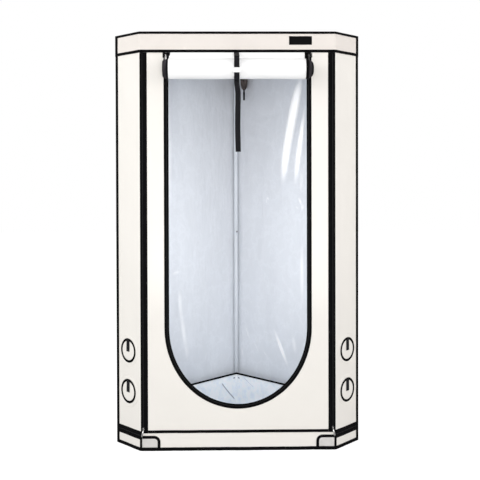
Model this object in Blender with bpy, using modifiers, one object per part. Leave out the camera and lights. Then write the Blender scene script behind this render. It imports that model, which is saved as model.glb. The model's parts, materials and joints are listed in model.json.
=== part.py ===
"""Corner grow tent: a frame of plugged steel tubes inside a sewn fabric cover, with a roll-up door,
four duct ports, zips, a roof duct sleeve, a cable sleeve and a floor tray.

Metres. +Z is up, the door faces -Y and the square corner at the back points to +Y. The origin is on
the ground, in the middle of the tent's width and depth."""

import math

import bmesh
import bpy
from mathutils import Matrix, Vector

# Overall size of the closed cover
TENT_WIDTH = 1.200
TENT_DEPTH = 0.750
TENT_HEIGHT = 2.000
FRONT_SPAN = 0.920

# Clearances
GAP = 0.0003
SWING_GAP = 0.0008
OVERRUN = 0.004
TUCK = 0.0001

# Fabric, tape and tube stock
FABRIC = 0.0010
TAPE = 0.0015
TUBE_RADIUS = 0.011
TUBE_WALL = 0.001
HUB_RADIUS = 0.014
STUB_RADIUS = 0.0095
STUB_LENGTH = 0.045
JOINT_GROOVE = 0.0005
JOINT_GROOVE_WIDTH = 0.002

# Bands and bindings of the cover
BAND_HEIGHT = 0.096
BINDING_WIDTH = 0.0115
BASE_BINDING_WIDTH = 0.0165
BINDING_FOLD = 0.010
CORNER_BINDING_REACH = 0.0135
HEM_TAPE_TOP = 0.0988
HEM_TAPE_WIDTH = 0.0140

# Zips
CORNER_ZIP_WIDTH = 0.0285
FOOT_ZIP_LOW = 0.054
FOOT_ZIP_WIDTH = 0.041
DOOR_ZIP_WIDTH = 0.023
DOOR_HALF_WIDTH = 0.329
DOOR_CURVE_HEIGHT = 0.587
DOOR_CURVE_DROP = 0.364
DOOR_ZIP_OVERHANG = 0.002
DOOR_TOP_BELOW_BAND = 0.022

# Zip sliders and their pulls
SLIDER_WIDTH = 0.012
SLIDER_LENGTH = 0.016
SLIDER_DEPTH = 0.004
SLIDER_EDGE = 0.0008
BRIDGE_REACH = 0.0054
BRIDGE_HALF_LENGTH = 0.0062
BRIDGE_WIRE = 0.0024
PULL_WIDTH = 0.008
DOOR_PULL_LENGTH = 0.026
CORNER_PULL_LENGTH = 0.040
PULL_THICKNESS = 0.0016
PULL_BAR = 0.0020
PULL_EYE_LENGTH = 0.0072
PULL_EYE_WIDTH = 0.0044
CORNER_SLIDER_INSET = 0.0065
CORNER_SLIDER_HEIGHT = 0.107
DOOR_SLIDER_BELOW_BAND = 0.017

# Rolled door and its strap
ROLL_RADIUS = 0.050
ROLL_FLATNESS = 0.8
ROLL_PITCH = 0.0076
ROLL_TURNS = 4.6
ROLL_SHEET = 0.0032
ROLL_DROP = 0.085
ROLL_LEFT_EDGE = 0.027
ROLL_RIGHT_EDGE = 0.033
ROLL_RIGHT_OVERHANG = 0.0045
ROLL_SLIDER_CLEARANCE = 0.0015
STRAP_WIDTH = 0.025
STRAP_THICKNESS = 0.0012
STRAP_OFFSET = -0.005
STRAP_UNDER_CLEARANCE = 0.0006
STRAP_LEAN_HEIGHT = 0.030
STRAP_STRAIGHT_BELOW = 0.030
TAIL_LENGTH = 0.336
TAIL_WAVE = 0.004
BUCKLE_WIDTH = 0.044
BUCKLE_HEIGHT = 0.023
BUCKLE_BELOW_ROLL = 0.0115
BUCKLE_WALL = 0.0023
BUCKLE_SLOT_CLEARANCE = 0.0006
BUCKLE_SIDE_CLEARANCE = 0.0012
BUCKLE_CORNER = 0.003

# Duct ports in the two side panels
PORT_BORE = 0.048
PORT_SLEEVE_WALL = 0.0015
PORT_SLEEVE_LENGTH = 0.055
PORT_COVER_RADIUS = 0.0475
PORT_RIM_WIDTH = 0.0095
PORT_RIM_THICKNESS = 0.0024
PORT_TAB_WIDTH = 0.019
PORT_TAB_DROP = 0.052
PORT_HEIGHTS = {"upper": 0.467, "lower": 0.2695}

# Roof duct sleeve and cable sleeve
ROOF_SLEEVE_BORE = 0.0625
ROOF_SLEEVE_HEIGHT = 0.045
ROOF_SLEEVE_Y = -0.060
CABLE_PORT_FROM_CORNER = 0.075
CABLE_PORT_BELOW_ROOF = 0.085
CABLE_PORT_BORE = 0.020
CABLE_SLEEVE_RADIUS = 0.024
CABLE_SLEEVE_ROOT = 0.018
CABLE_SLEEVE_DROP = 0.126
CABLE_SLEEVE_MOUTH = 0.018
CABLE_SLEEVE_END_RADIUS = 0.0055
CABLE_SLEEVE_END_LENGTH = 0.056

# Floor tray
TRAY_WALL = 0.0015
TRAY_HEIGHT = 0.1907
TRAY_BINDING_HEIGHT = 0.0095
TRAY_BINDING_THICKNESS = 0.0030

# Lamp bars under the roof
LAMP_BAR_OFFSET = 0.200
LAMP_BAR_RADIUS = 0.008
HOOK_THICKNESS = 0.002
HOOK_WIDTH = 0.020
HOOK_LIP = 0.006
HOOK_BLOCK_REACH = 0.024

# Sewn patches and the blank label
PATCH_WIDTH = 0.0873
PATCH_HEIGHT = 0.0730
PATCH_CORNER = 0.030
PATCH_RIM_WIDTH = 0.0145
LABEL_WIDTH = 0.109
LABEL_HEIGHT = 0.041
LABEL_THICKNESS = 0.0008
LABEL_CENTRE_X = 0.300
LABEL_BELOW_ROOF = 0.0205

# Facets
ARC_STEPS = 4
TUBE_SIDES = 16
STUB_SIDES = 12
PORT_SIDES = 28
DOOR_CURVE_STEPS = 24
ROLL_STEPS_PER_TURN = 14
STRAP_CURVE_STEPS = 12
ROUND_STEPS = 4
PATCH_ROUND_STEPS = 6

# Layers, as distances out from the pole axes
PANEL_IN = HUB_RADIUS + GAP
PANEL_OUT = PANEL_IN + FABRIC
BAND_IN = PANEL_OUT + GAP
BAND_OUT = BAND_IN + FABRIC
WALL_TAPE_OUT = BAND_IN + TAPE
BAND_TAPE_IN = BAND_OUT + GAP
BAND_TAPE_OUT = BAND_TAPE_IN + TAPE
SLIDER_IN = WALL_TAPE_OUT + GAP
SLIDER_OUT = SLIDER_IN + SLIDER_DEPTH

# Heights
ROOF_TOP = TENT_HEIGHT - TAPE - GAP
ROOF_UNDER = ROOF_TOP - FABRIC
WALL_TOP = ROOF_UNDER - GAP
FLOOR_TOP = FABRIC
WALL_BOTTOM = FLOOR_TOP + GAP
BAND_BOTTOM = ROOF_TOP - BAND_HEIGHT
BAND_TAPE_BOTTOM = BAND_BOTTOM - GAP - TAPE
ZIP_TOP = BAND_TAPE_BOTTOM - GAP
LOW_AXIS = FLOOR_TOP + GAP + HUB_RADIUS
TOP_AXIS = ROOF_UNDER - GAP - HUB_RADIUS

# Pole axes seen from above, anticlockwise from the front left. The back corner is square.
HALF_SPAN = TENT_WIDTH / 2 - BAND_TAPE_OUT
BACK_Y = TENT_DEPTH / 2 - BAND_TAPE_OUT
FRONT_Y = -BACK_Y
WIDE_Y = BACK_Y - HALF_SPAN
POLE_AXES = [
    Vector((-FRONT_SPAN / 2, FRONT_Y)),
    Vector((FRONT_SPAN / 2, FRONT_Y)),
    Vector((HALF_SPAN, WIDE_Y)),
    Vector((0, BACK_Y)),
    Vector((-HALF_SPAN, WIDE_Y)),
]
FRONT_LEFT, FRONT_RIGHT, RIGHT, BACK, LEFT = range(len(POLE_AXES))
CORNER_NAMES = {
    FRONT_LEFT: "front_left",
    FRONT_RIGHT: "front_right",
    RIGHT: "right",
    BACK: "back",
    LEFT: "left",
}
SIDES = {"left": -1, "right": 1}

# Colours, roughness and metallic value of each material
FINISHES = {
    "cover_fabric": ((0.86, 0.83, 0.78), 0.75, 0.0),
    "door_lining": ((0.93, 0.94, 0.95), 0.55, 0.0),
    "reflective_lining": ((0.78, 0.82, 0.87), 0.35, 0.3),
    "black_tape": ((0.012, 0.012, 0.014), 0.70, 0.0),
    "white_tube": ((0.88, 0.90, 0.92), 0.35, 0.0),
    "zinc_corner": ((0.60, 0.61, 0.63), 0.35, 0.9),
    "nickel": ((0.70, 0.70, 0.70), 0.25, 1.0),
    "white_plastic": ((0.93, 0.93, 0.92), 0.40, 0.0),
    "dark_mesh": ((0.035, 0.028, 0.025), 0.85, 0.0),
    "patch_fabric": ((0.72, 0.70, 0.68), 0.80, 0.0),
}


def clear_scene():
    """Removes whatever the scene holds, and makes the two collections."""
    for obj in list(bpy.data.objects):
        bpy.data.objects.remove(obj)
    for name in ("grow_tent", "cutters"):
        bpy.context.scene.collection.children.link(bpy.data.collections.new(name))


def make_materials():
    """One Principled material for each finish."""
    for name, (colour, roughness, metallic) in FINISHES.items():
        material = bpy.data.materials.new(name)
        material.use_nodes = True
        shader = material.node_tree.nodes["Principled BSDF"]
        shader.inputs["Base Color"].default_value = (*colour, 1)
        shader.inputs["Roughness"].default_value = roughness
        shader.inputs["Metallic"].default_value = metallic
        material.diffuse_color = (*colour, 1)


# Walking round the cover. A place is a number: corner 2's turn is 2.0 to 2.5, and the straight after it
# runs from 2.5 to 3.0.


def corner(index):
    return POLE_AXES[index % len(POLE_AXES)]


def edge_length(index):
    return (corner(index + 1) - corner(index)).length


def edge_direction(index):
    return (corner(index + 1) - corner(index)).normalized()


def edge_normal(index):
    """The way out through the wall that follows a corner."""
    along = edge_direction(index)
    return Vector((along.y, -along.x))


def turn_angles(index):
    """The outward direction's angle before a corner, and how much it turns there."""
    before, after = edge_normal(index - 1), edge_normal(index)
    start = math.atan2(before.y, before.x)
    turn = (math.atan2(after.y, after.x) - start) % math.tau
    return start, turn


def station(place):
    """The point on the pole axes' outline and the outward direction at a place."""
    index = math.floor(place)
    share = (place - index) * 2
    if share < 1:
        start, turn = turn_angles(index)
        angle = start + turn * share
        return corner(index), Vector((math.cos(angle), math.sin(angle)))
    return corner(index).lerp(corner(index + 1), share - 1), edge_normal(index)


def places(first, last):
    """The places between two, with every facet of the turns between them."""
    marks = [
        index + step / (2 * ARC_STEPS)
        for index in range(math.floor(first), math.ceil(last) + 1)
        for step in range(ARC_STEPS + 1)
    ]
    return [first, *[mark for mark in marks if first < mark < last], last]


def outset(marks, distance):
    """Points at a distance out from the pole axes."""
    return [point + way * distance for point, way in map(station, marks)]


def on_edge(index, distance):
    """The place a distance along the straight after a corner; a negative one counts from its far end."""
    share = distance / edge_length(index)
    return index + 0.5 + (share if share >= 0 else 1 + share) / 2


def seam(index, side):
    """The middle of a corner's turn, half a gap to one side of the seam there."""
    turn = turn_angles(index)[1]
    return index + 1 / 4 + side * GAP / (4 * PANEL_IN * turn)


def strip(first, last, inner, outer):
    """Outline of a sheet that follows the cover between two places."""
    marks = places(first, last)
    return [outset(marks, outer) + outset(marks, inner)[::-1]]


def ring(inner, outer):
    """Outline of a sheet all the way round the cover."""
    marks = places(0, len(POLE_AXES))[:-1]
    return [outset(marks, outer), outset(marks, inner)]


def inset(distance):
    """Outline with plain corners, a distance inside the pole axes."""
    points = []
    for index in range(len(POLE_AXES)):
        before, after = edge_normal(index - 1), edge_normal(index)
        points.append(corner(index) - (before + after) * distance / (1 + before.dot(after)))
    return points


# Frames: the plane that an outline is drawn in, as a matrix.


def frame_of(origin, across, up, out):
    columns = Matrix((across, up, out)).transposed().to_4x4()
    return Matrix.Translation(origin) @ columns


def wall_frame(index, distance):
    """X runs along a wall, Y is up and Z points out, from the pole axes, a distance from the corner."""
    along, out = edge_direction(index), edge_normal(index)
    origin = corner(index) + along * distance
    return frame_of(origin.to_3d(), along.to_3d(), Vector((0, 0, 1)), out.to_3d())


def front_frame():
    return wall_frame(FRONT_LEFT, edge_length(FRONT_LEFT) / 2)


def door_section_frame():
    """X points out through the front, Y is up, and Z runs to the left: for shapes extruded along the door."""
    return frame_of(Vector((0, FRONT_Y, 0)), Vector((0, -1, 0)), Vector((0, 0, 1)), Vector((-1, 0, 0)))


def rail_section_frame(index, point):
    """X points into the tent from a rail, Y is up and Z runs along the rail."""
    inward = -edge_normal(index)
    return frame_of(point, inward.to_3d(), Vector((0, 0, 1)), edge_direction(index).to_3d())


def axis_frame(start, direction):
    """Z runs along a tube, and X is up on a level tube, so that its lowest facet lies level."""
    across = Vector((0, 0, 1)) if abs(direction.z) < 1 / 2 else Vector((1, 0, 0))
    return frame_of(start, across, direction.cross(across), direction)


# Shapes


def circle(radius, sides, centre=(0, 0)):
    """A round outline whose facets face along the axes."""
    angles = [math.tau * (step + 1 / 2) / sides for step in range(sides)]
    return [(centre[0] + radius * math.cos(a), centre[1] + radius * math.sin(a)) for a in angles]


def rectangle(left, right, low, high):
    return [(left, low), (right, low), (right, high), (left, high)]


def arc(centre, across, up, first, last, steps):
    """Points on an ellipse between two angles in degrees."""
    angles = [math.radians(first + (last - first) * step / steps) for step in range(steps + 1)]
    return [(centre[0] + across * math.cos(a), centre[1] + up * math.sin(a)) for a in angles]


def thickened(path, thickness):
    """Outline of a bent sheet, from the line through its middle."""
    near, far = [], []
    for index, point in enumerate(path):
        before = Vector(path[max(index - 1, 0)])
        after = Vector(path[min(index + 1, len(path) - 1)])
        along = (after - before).normalized()
        side = Vector((along.y, -along.x)) * thickness / 2
        near.append(Vector(point) + side)
        far.append(Vector(point) - side)
    return [near + far[::-1]]


def finish_object(name, mesh, material, collection="grow_tent"):
    """Links a mesh as an object, with its material and with round pieces shaded smooth."""
    mesh.materials.clear()
    if material:
        mesh.materials.append(bpy.data.materials[material])
    mesh.shade_smooth()
    mesh.set_sharp_from_angle(angle=math.radians(30))
    obj = bpy.data.objects.new(name, mesh)
    bpy.data.collections[collection].objects.link(obj)
    return obj


def tidy_mesh(mesh, frame=None):
    """Welds a mesh's doubles, points its faces out and moves it into a frame."""
    work = bmesh.new()
    work.from_mesh(mesh)
    bmesh.ops.remove_doubles(work, verts=work.verts, dist=TUCK / 100)
    bmesh.ops.recalc_face_normals(work, faces=work.faces)
    work.to_mesh(mesh)
    work.free()
    if frame is not None:
        mesh.transform(frame)


def prism(name, loops, low, high, material=None, frame=None):
    """A flat outline, filled and extruded between two heights of its frame; a helper has no material."""
    curve = bpy.data.curves.new(name, "CURVE")
    curve.dimensions = "2D"
    curve.fill_mode = "BOTH"
    curve.extrude = (high - low) / 2
    for loop in loops:
        spline = curve.splines.new("POLY")
        spline.points.add(len(loop) - 1)
        for point, (x, y) in zip(spline.points, loop):
            point.co = (x, y, 0, 1)
        spline.use_cyclic_u = True
    guide = bpy.data.objects.new(name + "_outline", curve)
    bpy.data.collections["cutters"].objects.link(guide)
    bpy.context.view_layer.update()
    graph = bpy.context.evaluated_depsgraph_get()
    mesh = bpy.data.meshes.new_from_object(guide.evaluated_get(graph))
    bpy.data.objects.remove(guide)
    mesh.transform(Matrix.Translation((0, 0, (low + high) / 2)))
    tidy_mesh(mesh, frame)
    return finish_object(name, mesh, material, "grow_tent" if material else "cutters")


def rod(name, start, end, radius, sides, material=None, end_radius=None):
    """A solid round bar, or a cone, between two points."""
    start, end = Vector(start), Vector(end)
    length = (end - start).length
    work = bmesh.new()
    bmesh.ops.create_cone(
        work,
        cap_ends=True,
        segments=sides,
        radius1=radius,
        radius2=radius if end_radius is None else end_radius,
        depth=length,
        matrix=Matrix.Translation((0, 0, length / 2)) @ Matrix.Rotation(math.pi / sides, 4, "Z"),
    )
    mesh = bpy.data.meshes.new(name)
    work.to_mesh(mesh)
    work.free()
    mesh.transform(axis_frame(start, (end - start).normalized()))
    return finish_object(name, mesh, material, "grow_tent" if material else "cutters")


def combine(obj, other, operation):
    """Adds a Boolean, and hides the object that it uses."""
    for collection in list(other.users_collection):
        collection.objects.unlink(other)
    bpy.data.collections["cutters"].objects.link(other)
    other.hide_render = True
    other.display_type = "WIRE"
    modifier = obj.modifiers.new(f"{operation.lower()} {other.name}", "BOOLEAN")
    modifier.operation = operation
    modifier.object = other
    modifier.solver = "EXACT"
    return obj


def wrapped(name, blocks, material):
    """Tape round the cover: blocks between places, distances and heights, with shared faces left out."""
    count = len(POLE_AXES)
    marks = {round(mark % count, 9) for block in blocks for mark in places(*block[0])}
    marks = sorted(marks)
    rows = sorted({edge for block in blocks for edge in block[1]})
    levels = sorted({edge for block in blocks for edge in block[2]})

    def middle_place(step):
        following = marks[step + 1] if step + 1 < len(marks) else marks[0] + count
        return (marks[step] + following) / 2

    def filled(step, row, level):
        if not (0 <= row < len(rows) - 1 and 0 <= level < len(levels) - 1):
            return False
        place = middle_place(step % len(marks))
        distance = (rows[row] + rows[row + 1]) / 2
        height = (levels[level] + levels[level + 1]) / 2
        return any(
            (place - first) % count < last - first and near < distance < far and low < height < high
            for (first, last), (near, far), (low, high) in blocks
        )

    points, numbers, faces = [], {}, []

    def vertex(step, row, level):
        key = (step % len(marks), row, level)
        if key not in numbers:
            numbers[key] = len(points)
            point, way = station(marks[key[0]])
            points.append((*(point + way * rows[row]), levels[level]))
        return numbers[key]

    ways = [Vector(way) for way in ((1, 0, 0), (0, 1, 0), (0, 0, 1))]
    for step in range(len(marks)):
        for row in range(len(rows) - 1):
            for level in range(len(levels) - 1):
                if not filled(step, row, level):
                    continue
                cell = Vector((step, row, level))
                for axis, way in enumerate(ways):
                    across, up = ways[axis - 2], ways[axis - 1]
                    for side in (0, 1):
                        beyond = cell + way * (2 * side - 1)
                        if filled(*(round(value) for value in beyond)):
                            continue
                        start = cell + way * side
                        ring_of = [start, start + across, start + across + up, start + up]
                        faces.append([vertex(*(round(value) for value in spot)) for spot in ring_of])
    mesh = bpy.data.meshes.new(name)
    mesh.from_pydata(points, [], faces)
    tidy_mesh(mesh)
    return finish_object(name, mesh, material)


def join_all(name, parts, material):
    """One sewn or welded piece out of several overlapping shapes."""
    whole = parts[0]
    for part in parts[1:]:
        combine(whole, part, "UNION")
    whole.name = name
    whole.data.materials.append(bpy.data.materials[material])
    for collection in list(whole.users_collection):
        collection.objects.unlink(whole)
    bpy.data.collections["grow_tent"].objects.link(whole)
    return whole


def set_origin(obj, point):
    """Puts a moving piece's origin on its joint."""
    obj.data.transform(Matrix.Translation(-Vector(point)))
    obj.location = point
    return obj


# The frame of tubes


def corner_point(index, height):
    return corner(index).to_3d() + Vector((0, 0, height))


def make_pole(index):
    """An upright of two tubes that meet in a rolled groove at half height: a turned profile with a bore."""
    low = LOW_AXIS + HUB_RADIUS + GAP
    high = TOP_AXIS - HUB_RADIUS - GAP
    middle = (low + high) / 2
    groove_low = middle - JOINT_GROOVE_WIDTH / 2
    groove_high = middle + JOINT_GROOVE_WIDTH / 2
    neck = TUBE_RADIUS - JOINT_GROOVE
    bore = TUBE_RADIUS - TUBE_WALL
    profile = [
        (TUBE_RADIUS, high),
        (TUBE_RADIUS, groove_high),
        (neck, groove_high),
        (neck, groove_low),
        (TUBE_RADIUS, groove_low),
        (TUBE_RADIUS, low),
        (bore, low),
        (bore, high),
    ]
    name = f"pole_{CORNER_NAMES[index]}"
    count = len(profile)
    mesh = bpy.data.meshes.new(name)
    mesh.from_pydata(
        [(radius, 0, height) for radius, height in profile],
        [(step, (step + 1) % count) for step in range(count)],
        [],
    )
    pole = finish_object(name, mesh, "white_tube")
    pole.location = corner(index).to_3d()
    screw = pole.modifiers.new("turned", "SCREW")
    screw.steps = screw.render_steps = TUBE_SIDES
    screw.merge_threshold = TUCK / 10
    screw.use_merge_vertices = True
    screw.use_smooth_shade = True
    return pole


def make_rail(name, index, height):
    """A level tube between two corner fittings."""
    reach = HUB_RADIUS + GAP
    start = corner_point(index, height) + edge_direction(index).to_3d() * reach
    length = edge_length(index) - 2 * reach
    loops = [circle(TUBE_RADIUS, TUBE_SIDES), circle(TUBE_RADIUS - TUBE_WALL, TUBE_SIDES)]
    frame = axis_frame(start, edge_direction(index).to_3d())
    return prism(name, loops, 0, length, "white_tube", frame)


def hub(index, height):
    centre = corner_point(index, height)
    rise = Vector((0, 0, HUB_RADIUS))
    return rod(f"hub_{index}", centre - rise, centre + rise, HUB_RADIUS, TUBE_SIDES)


def stub(index, height, direction):
    """The plug of a corner fitting, inside the tube that it carries."""
    centre = corner_point(index, height)
    end = centre + direction * (HUB_RADIUS + STUB_LENGTH)
    return rod(f"stub_{index}", centre, end, STUB_RADIUS, STUB_SIDES)


def make_back_corner(name, height, upward):
    shapes = [
        hub(BACK, height),
        stub(BACK, height, Vector((0, 0, upward))),
        stub(BACK, height, edge_direction(BACK).to_3d()),
        stub(BACK, height, -edge_direction(RIGHT).to_3d()),
    ]
    return join_all(name, shapes, "zinc_corner")


def make_side_corner(name, first, second, height, upward):
    """Two corner fittings on one short tube, welded: the whole of a narrow side at one level."""
    rise = Vector((0, 0, upward))
    shapes = [
        rod("side_tube", corner_point(first, height), corner_point(second, height), TUBE_RADIUS, TUBE_SIDES),
        hub(first, height),
        hub(second, height),
        stub(first, height, rise),
        stub(second, height, rise),
        stub(first, height, -edge_direction(first - 1).to_3d()),
        stub(second, height, edge_direction(second).to_3d()),
    ]
    return join_all(name, shapes, "zinc_corner")


def make_lamp_bar(side):
    """A bar from front to back whose two hooks sit over the top rails."""
    x = SIDES[side] * LAMP_BAR_OFFSET
    back_edge = RIGHT if side == "right" else BACK
    share = (HALF_SPAN - LAMP_BAR_OFFSET) / HALF_SPAN
    back_rail_y = WIDE_Y + share * (BACK_Y - WIDE_Y)
    inner = TUBE_RADIUS + GAP
    outer = inner + HOOK_THICKNESS
    slant = edge_normal(back_edge).y
    reach = inner + LAMP_BAR_RADIUS * math.sqrt(1 - slant * slant)
    front_end = FRONT_Y + inner + HOOK_THICKNESS / 2
    back_end = back_rail_y - reach / slant
    back_hook = Vector((x, back_end)) + edge_normal(back_edge) * reach
    bar = rod(
        "bar",
        (x, front_end, TOP_AXIS),
        (x, back_end, TOP_AXIS),
        LAMP_BAR_RADIUS,
        TUBE_SIDES,
    )
    block = LAMP_BAR_RADIUS + TUCK
    outer_stop = math.degrees(math.asin(block / outer))
    inner_stop = math.degrees(math.asin(block / inner))
    outline = [
        (-inner, -HOOK_LIP),
        (-outer, -HOOK_LIP),
        *arc((0, 0), outer, outer, 180, outer_stop, 2 * ROUND_STEPS),
        (HOOK_BLOCK_REACH, block),
        (HOOK_BLOCK_REACH, -block),
        *arc((0, 0), inner, inner, -inner_stop, 180, 3 * ROUND_STEPS),
    ]
    shapes = [bar]
    for index, point in ((FRONT_LEFT, Vector((x, FRONT_Y))), (back_edge, back_hook)):
        frame = rail_section_frame(index, point.to_3d() + Vector((0, 0, TOP_AXIS)))
        shapes.append(prism("hook", [outline], -HOOK_WIDTH / 2, HOOK_WIDTH / 2, None, frame))
    return join_all(f"lamp_bar_{side}", shapes, "white_tube")


def make_frame():
    for index in CORNER_NAMES:
        make_pole(index)
    for level, height, upward in (("bottom", LOW_AXIS, 1), ("top", TOP_AXIS, -1)):
        make_rail(f"front_rail_{level}", FRONT_LEFT, height)
        make_rail(f"back_rail_right_{level}", RIGHT, height)
        make_rail(f"back_rail_left_{level}", BACK, height)
        make_back_corner(f"corner_fitting_back_{level}", height, upward)
        make_side_corner(f"corner_fitting_left_{level}", LEFT, LEFT + 1, height, upward)
        make_side_corner(f"corner_fitting_right_{level}", FRONT_RIGHT, RIGHT, height, upward)
    for side in SIDES:
        make_lamp_bar(side)


# The cover's panels


def u_path(half_width, drop, top):
    """Down one side of the door, round its elliptical foot and up the other side."""
    foot = arc((0, DOOR_CURVE_HEIGHT), half_width, drop, 180, 360, DOOR_CURVE_STEPS)
    return [(-half_width, top), *foot, (half_width, top)]


def make_front_panel():
    half = FRONT_SPAN / 2 - GAP / 2
    door_top = BAND_BOTTOM - DOOR_TOP_BELOW_BAND
    door = u_path(DOOR_HALF_WIDTH + DOOR_ZIP_OVERHANG, DOOR_CURVE_DROP + DOOR_ZIP_OVERHANG, door_top)
    loops = [rectangle(-half, half, WALL_BOTTOM, WALL_TOP), door]
    return prism("front_panel", loops, PANEL_IN, PANEL_OUT, "cover_fabric", front_frame())


def side_edge(side):
    """The wall that holds a side's ports, by the corner before it."""
    return LEFT if side == "left" else FRONT_RIGHT


def port_frame(side, level):
    """X along the narrow side, Y up and Z out, at the middle of a port and on the pole axes."""
    index = side_edge(side)
    frame = wall_frame(index, edge_length(index) / 2)
    return frame @ Matrix.Translation((0, PORT_HEIGHTS[level], 0))


def make_side_panel(side):
    """A narrow side with its two duct sleeves sewn in, open to the inside."""
    if side == "left":
        last = on_edge(LEFT + 1, -edge_length(FRONT_LEFT) - GAP / 2)
        outline = strip(seam(LEFT, 1), last, PANEL_IN, PANEL_OUT)
    else:
        outline = strip(FRONT_RIGHT, seam(RIGHT, -1), PANEL_IN, PANEL_OUT)
    panel = prism(f"side_panel_{side}", outline, WALL_BOTTOM, WALL_TOP, "cover_fabric")
    for level in PORT_HEIGHTS:
        frame = port_frame(side, level)
        outside = PORT_BORE + PORT_SLEEVE_WALL
        inner_end = PANEL_IN - PORT_SLEEVE_LENGTH
        middle = (PANEL_IN + PANEL_OUT) / 2
        sleeve = prism("sleeve", [circle(outside, PORT_SIDES)], inner_end, middle, None, frame)
        bore = prism(
            "bore", [circle(PORT_BORE, PORT_SIDES)], inner_end - OVERRUN, PANEL_OUT + OVERRUN, None, frame
        )
        combine(panel, sleeve, "UNION")
        combine(panel, bore, "DIFFERENCE")
    return panel


def cable_port_frame():
    """On the right back wall beside the back corner, on the pole axes."""
    frame = wall_frame(RIGHT, edge_length(RIGHT) - CABLE_PORT_FROM_CORNER)
    return frame @ Matrix.Translation((0, ROOF_TOP - CABLE_PORT_BELOW_ROOF, 0))


def make_back_walls():
    outline = strip(seam(RIGHT, 1), seam(BACK, -1), PANEL_IN, PANEL_OUT)
    right = prism("back_wall_right", outline, WALL_BOTTOM, WALL_TOP, "cover_fabric")
    hole = prism(
        "cable_hole",
        [circle(CABLE_PORT_BORE, TUBE_SIDES)],
        PANEL_IN - OVERRUN,
        PANEL_OUT + OVERRUN,
        None,
        cable_port_frame(),
    )
    combine(right, hole, "DIFFERENCE")
    outline = strip(seam(BACK, 1), seam(LEFT, -1), PANEL_IN, PANEL_OUT)
    prism("back_wall_left", outline, WALL_BOTTOM, WALL_TOP, "cover_fabric")


def make_roof_and_floor():
    marks = places(0, len(POLE_AXES))[:-1]
    outline = outset(marks, PANEL_OUT)
    prism("floor_panel", [outline], 0, FLOOR_TOP, "cover_fabric")
    roof = prism("roof_panel", [outline], ROOF_UNDER, ROOF_TOP, "cover_fabric")
    centre = (0, ROOF_SLEEVE_Y)
    outside = ROOF_SLEEVE_BORE + PORT_SLEEVE_WALL
    sleeve_top = ROOF_TOP + ROOF_SLEEVE_HEIGHT
    middle = (ROOF_UNDER + ROOF_TOP) / 2
    sleeve = prism("roof_sleeve", [circle(outside, PORT_SIDES, centre)], middle, sleeve_top)
    bore = prism(
        "roof_bore",
        [circle(ROOF_SLEEVE_BORE, PORT_SIDES, centre)],
        ROOF_UNDER - OVERRUN,
        sleeve_top + OVERRUN,
    )
    combine(roof, sleeve, "UNION")
    combine(roof, bore, "DIFFERENCE")


def make_top_band():
    return prism("top_band", ring(BAND_IN, BAND_OUT), BAND_BOTTOM, ROOF_TOP, "cover_fabric")


# Bindings, hems and patches


def patch_outline(width, height, radius, low, start):
    """A patch from the front fold, with its upper inner corner rounded. X counts from the fold."""
    return [
        (start, low),
        (width, low),
        *arc((width - radius, height - radius), radius, radius, 0, 90, PATCH_ROUND_STEPS),
        (start, height),
    ]


def mirrored(points, side):
    """Points given from the left fold of the front, for either side, from the middle of the front."""
    half = FRONT_SPAN / 2
    return [((x - half) * -SIDES[side], y) for x, y in points]


def make_bindings():
    """All the black tape: base, both edges of the band, the three rear corners and the front folds."""
    whole = (0, len(POLE_AXES))
    wall_tape, band_tape = (BAND_IN, WALL_TAPE_OUT), (BAND_TAPE_IN, BAND_TAPE_OUT)
    band_tape_low = (BAND_TAPE_BOTTOM, BAND_BOTTOM + BINDING_WIDTH)
    blocks = [
        (whole, wall_tape, (0, BASE_BINDING_WIDTH)),
        (whole, band_tape, band_tape_low),
        (whole, (BAND_IN, BAND_TAPE_OUT), (BAND_TAPE_BOTTOM, BAND_BOTTOM - GAP)),
        (whole, band_tape, (TENT_HEIGHT - BINDING_WIDTH, TENT_HEIGHT)),
        (whole, (BAND_TAPE_OUT - BINDING_FOLD, BAND_TAPE_OUT), (ROOF_TOP + GAP, TENT_HEIGHT)),
    ]
    for index in (RIGHT, BACK, LEFT):
        span = (on_edge(index - 1, -CORNER_BINDING_REACH), on_edge(index, CORNER_BINDING_REACH))
        blocks.append((span, wall_tape, (BASE_BINDING_WIDTH, BAND_TAPE_BOTTOM)))
        blocks.append((span, band_tape, (BAND_BOTTOM + BINDING_WIDTH, TENT_HEIGHT - BINDING_WIDTH)))
    for index in (FRONT_LEFT, FRONT_RIGHT):
        blocks.append(((index, index + 1 / 2), wall_tape, (BASE_BINDING_WIDTH, FOOT_ZIP_LOW - GAP)))
    wrapped("seam_binding", blocks, "black_tape")
    half = FRONT_SPAN / 2 - CORNER_ZIP_WIDTH - GAP
    hem = rectangle(-half, half, HEM_TAPE_TOP - HEM_TAPE_WIDTH, HEM_TAPE_TOP)
    prism("front_hem_tape", [hem], BAND_IN, WALL_TAPE_OUT, "black_tape", front_frame())


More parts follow.
